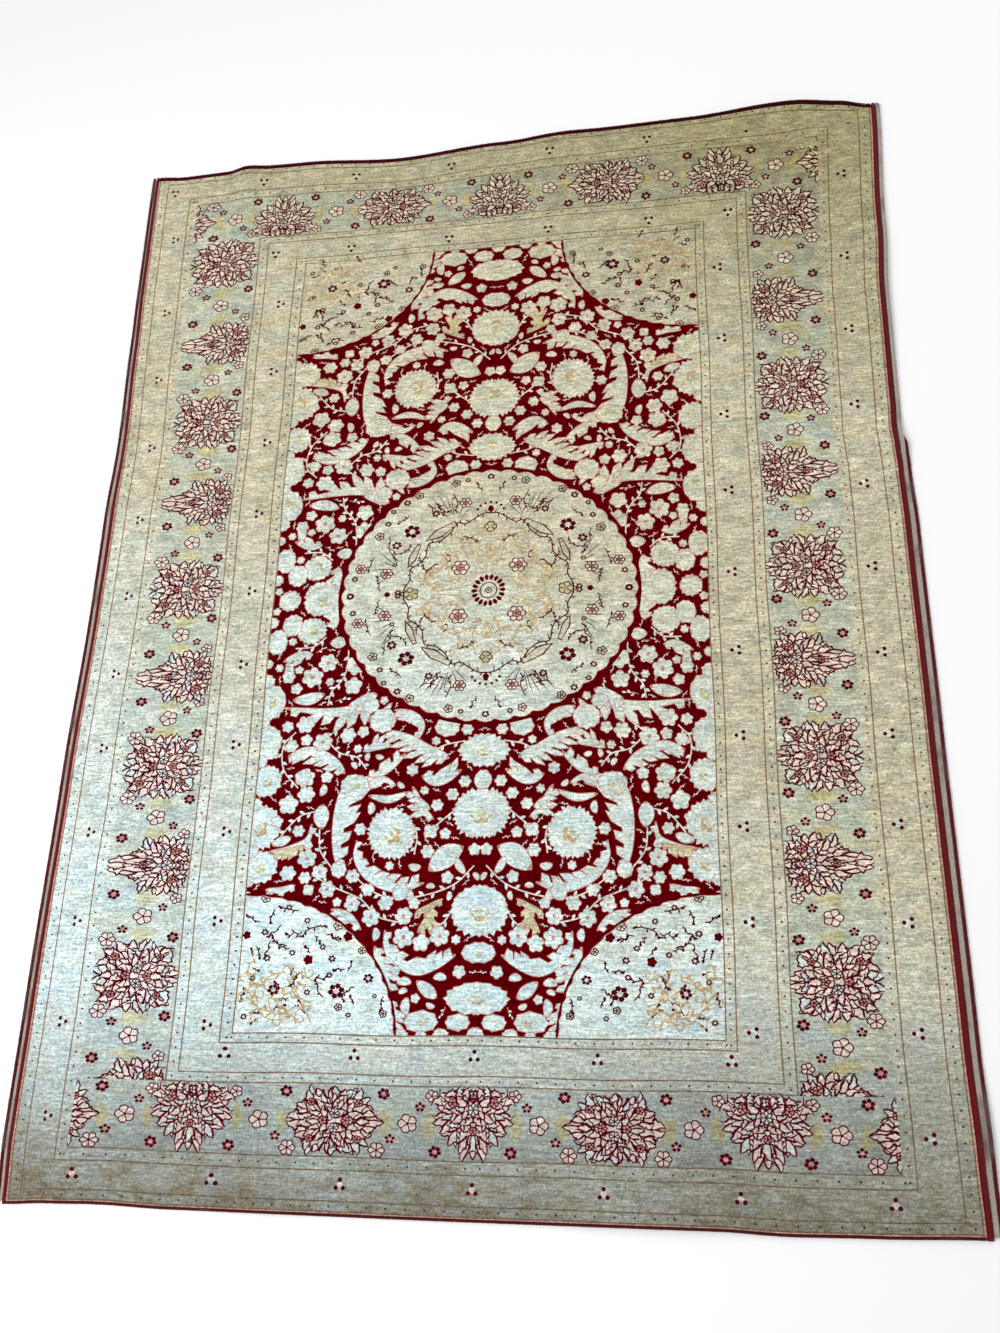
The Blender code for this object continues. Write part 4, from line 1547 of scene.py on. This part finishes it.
def build_end(end, word, material, rng):
    """The narrow binding of one end."""
    u = wrap_stops(-PILE_HALF_WIDTH + END_BINDING_INSET, PILE_HALF_WIDTH - END_BINDING_INSET)
    x, y = lay_flat(u, np.full_like(u, end * PILE_HALF_LENGTH))
    base = place(x, y + end * (GAP + 0.5 * END_BINDING_WIDTH), 0.0)
    out = np.array([0.0, end, 0.0])
    return overcast_cord("binding_" + word, base, out, END_BINDING_WIDTH,
                         END_BINDING_HEIGHT, material, "end_binding_" + word, rng)


# Camera, light and floor

FLOOR_HALF = 9.0
FLOOR_DROP = 0.0004
FLOOR_WHITE = 0.98
WORLD_STRENGTH = 0.52

# Area lights: name, place, size, watts
LIGHTS = (("key", (-2.2, -1.1, 3.5), 2.4, 112.0), ("fill", (2.4, 2.6, 3.2), 3.0, 46.0))


def build_camera():
    camera = bpy.data.objects.new("camera", bpy.data.cameras.new("camera"))
    bpy.context.scene.collection.objects.link(camera)
    back = -CAMERA_FORWARD.normalized()
    right = CAMERA_UP.cross(back).normalized()
    up = back.cross(right)
    turn = Matrix((right, up, back)).transposed()
    camera.matrix_world = Matrix.Translation(CAMERA_PLACE) @ turn.to_4x4()
    camera.data.lens = CAMERA_LENS
    camera.data.sensor_width = 36.0
    camera.data.clip_end = 50.0
    bpy.context.scene.camera = camera


def area_light(name, spot, size, power):
    """Square light that looks at the middle of the rug."""
    light = bpy.data.objects.new(name, bpy.data.lights.new(name, "AREA"))
    light.data.energy = power
    light.data.size = size
    light.location = spot
    light.rotation_euler = (-Vector(spot)).to_track_quat("-Z", "Y").to_euler()
    bpy.context.scene.collection.objects.link(light)


def build_stage():
    floor_mesh = bpy.data.meshes.new("floor")
    corners = [(*corner, 0.0) for corner in box(-FLOOR_HALF, -FLOOR_HALF, FLOOR_HALF, FLOOR_HALF)]
    floor_mesh.from_pydata(corners, [], [(0, 1, 2, 3)])
    floor = bpy.data.objects.new("floor", floor_mesh)
    floor.location.z = -FLOOR_DROP
    material, _, shader = new_material("floor", 0.8)
    shader.inputs["Base Color"].default_value = (FLOOR_WHITE, FLOOR_WHITE, FLOOR_WHITE, 1.0)
    floor_mesh.materials.append(material)
    bpy.context.scene.collection.objects.link(floor)
    world = bpy.data.worlds.new("studio")
    world.use_nodes = True
    background = world.node_tree.nodes["Background"]
    background.inputs["Color"].default_value = (1.0, 1.0, 1.0, 1.0)
    background.inputs["Strength"].default_value = WORLD_STRENGTH
    bpy.context.scene.world = world
    bpy.context.scene.view_settings.view_transform = "Standard"
    for light in LIGHTS:
        area_light(*light)


def main():
    build_camera()
    build_stage()
    rng = np.random.default_rng(SEED)
    yarns = {yarn: pile_material("pile_" + yarn, **PILE_LOOKS[yarn]) for yarn in YARNS}
    pile = build_pile(yarns)
    foundation = build_foundation(yarns["ground"])
    cords = {
        "crimson": yarn_material("cord_crimson", (96, 12, 20), (120, 40, 44), 0.62),
        "outer": yarn_material("cord_outer", (84, 14, 22), (96, 84, 84), 0.52),
        "web": yarn_material("bare_web", (164, 154, 142), (112, 84, 80), 0.50, 0.85),
    }
    edging = []
    for side, word in ((-1, "left"), (1, "right")):
        edging += build_side(side, word, cords, rng)
    binding = yarn_material("end_binding", (74, 10, 16), (110, 60, 56), 0.6)
    for end, word in ((-1, "near"), (1, "far")):
        edging.append(build_end(end, word, binding, rng))


main()
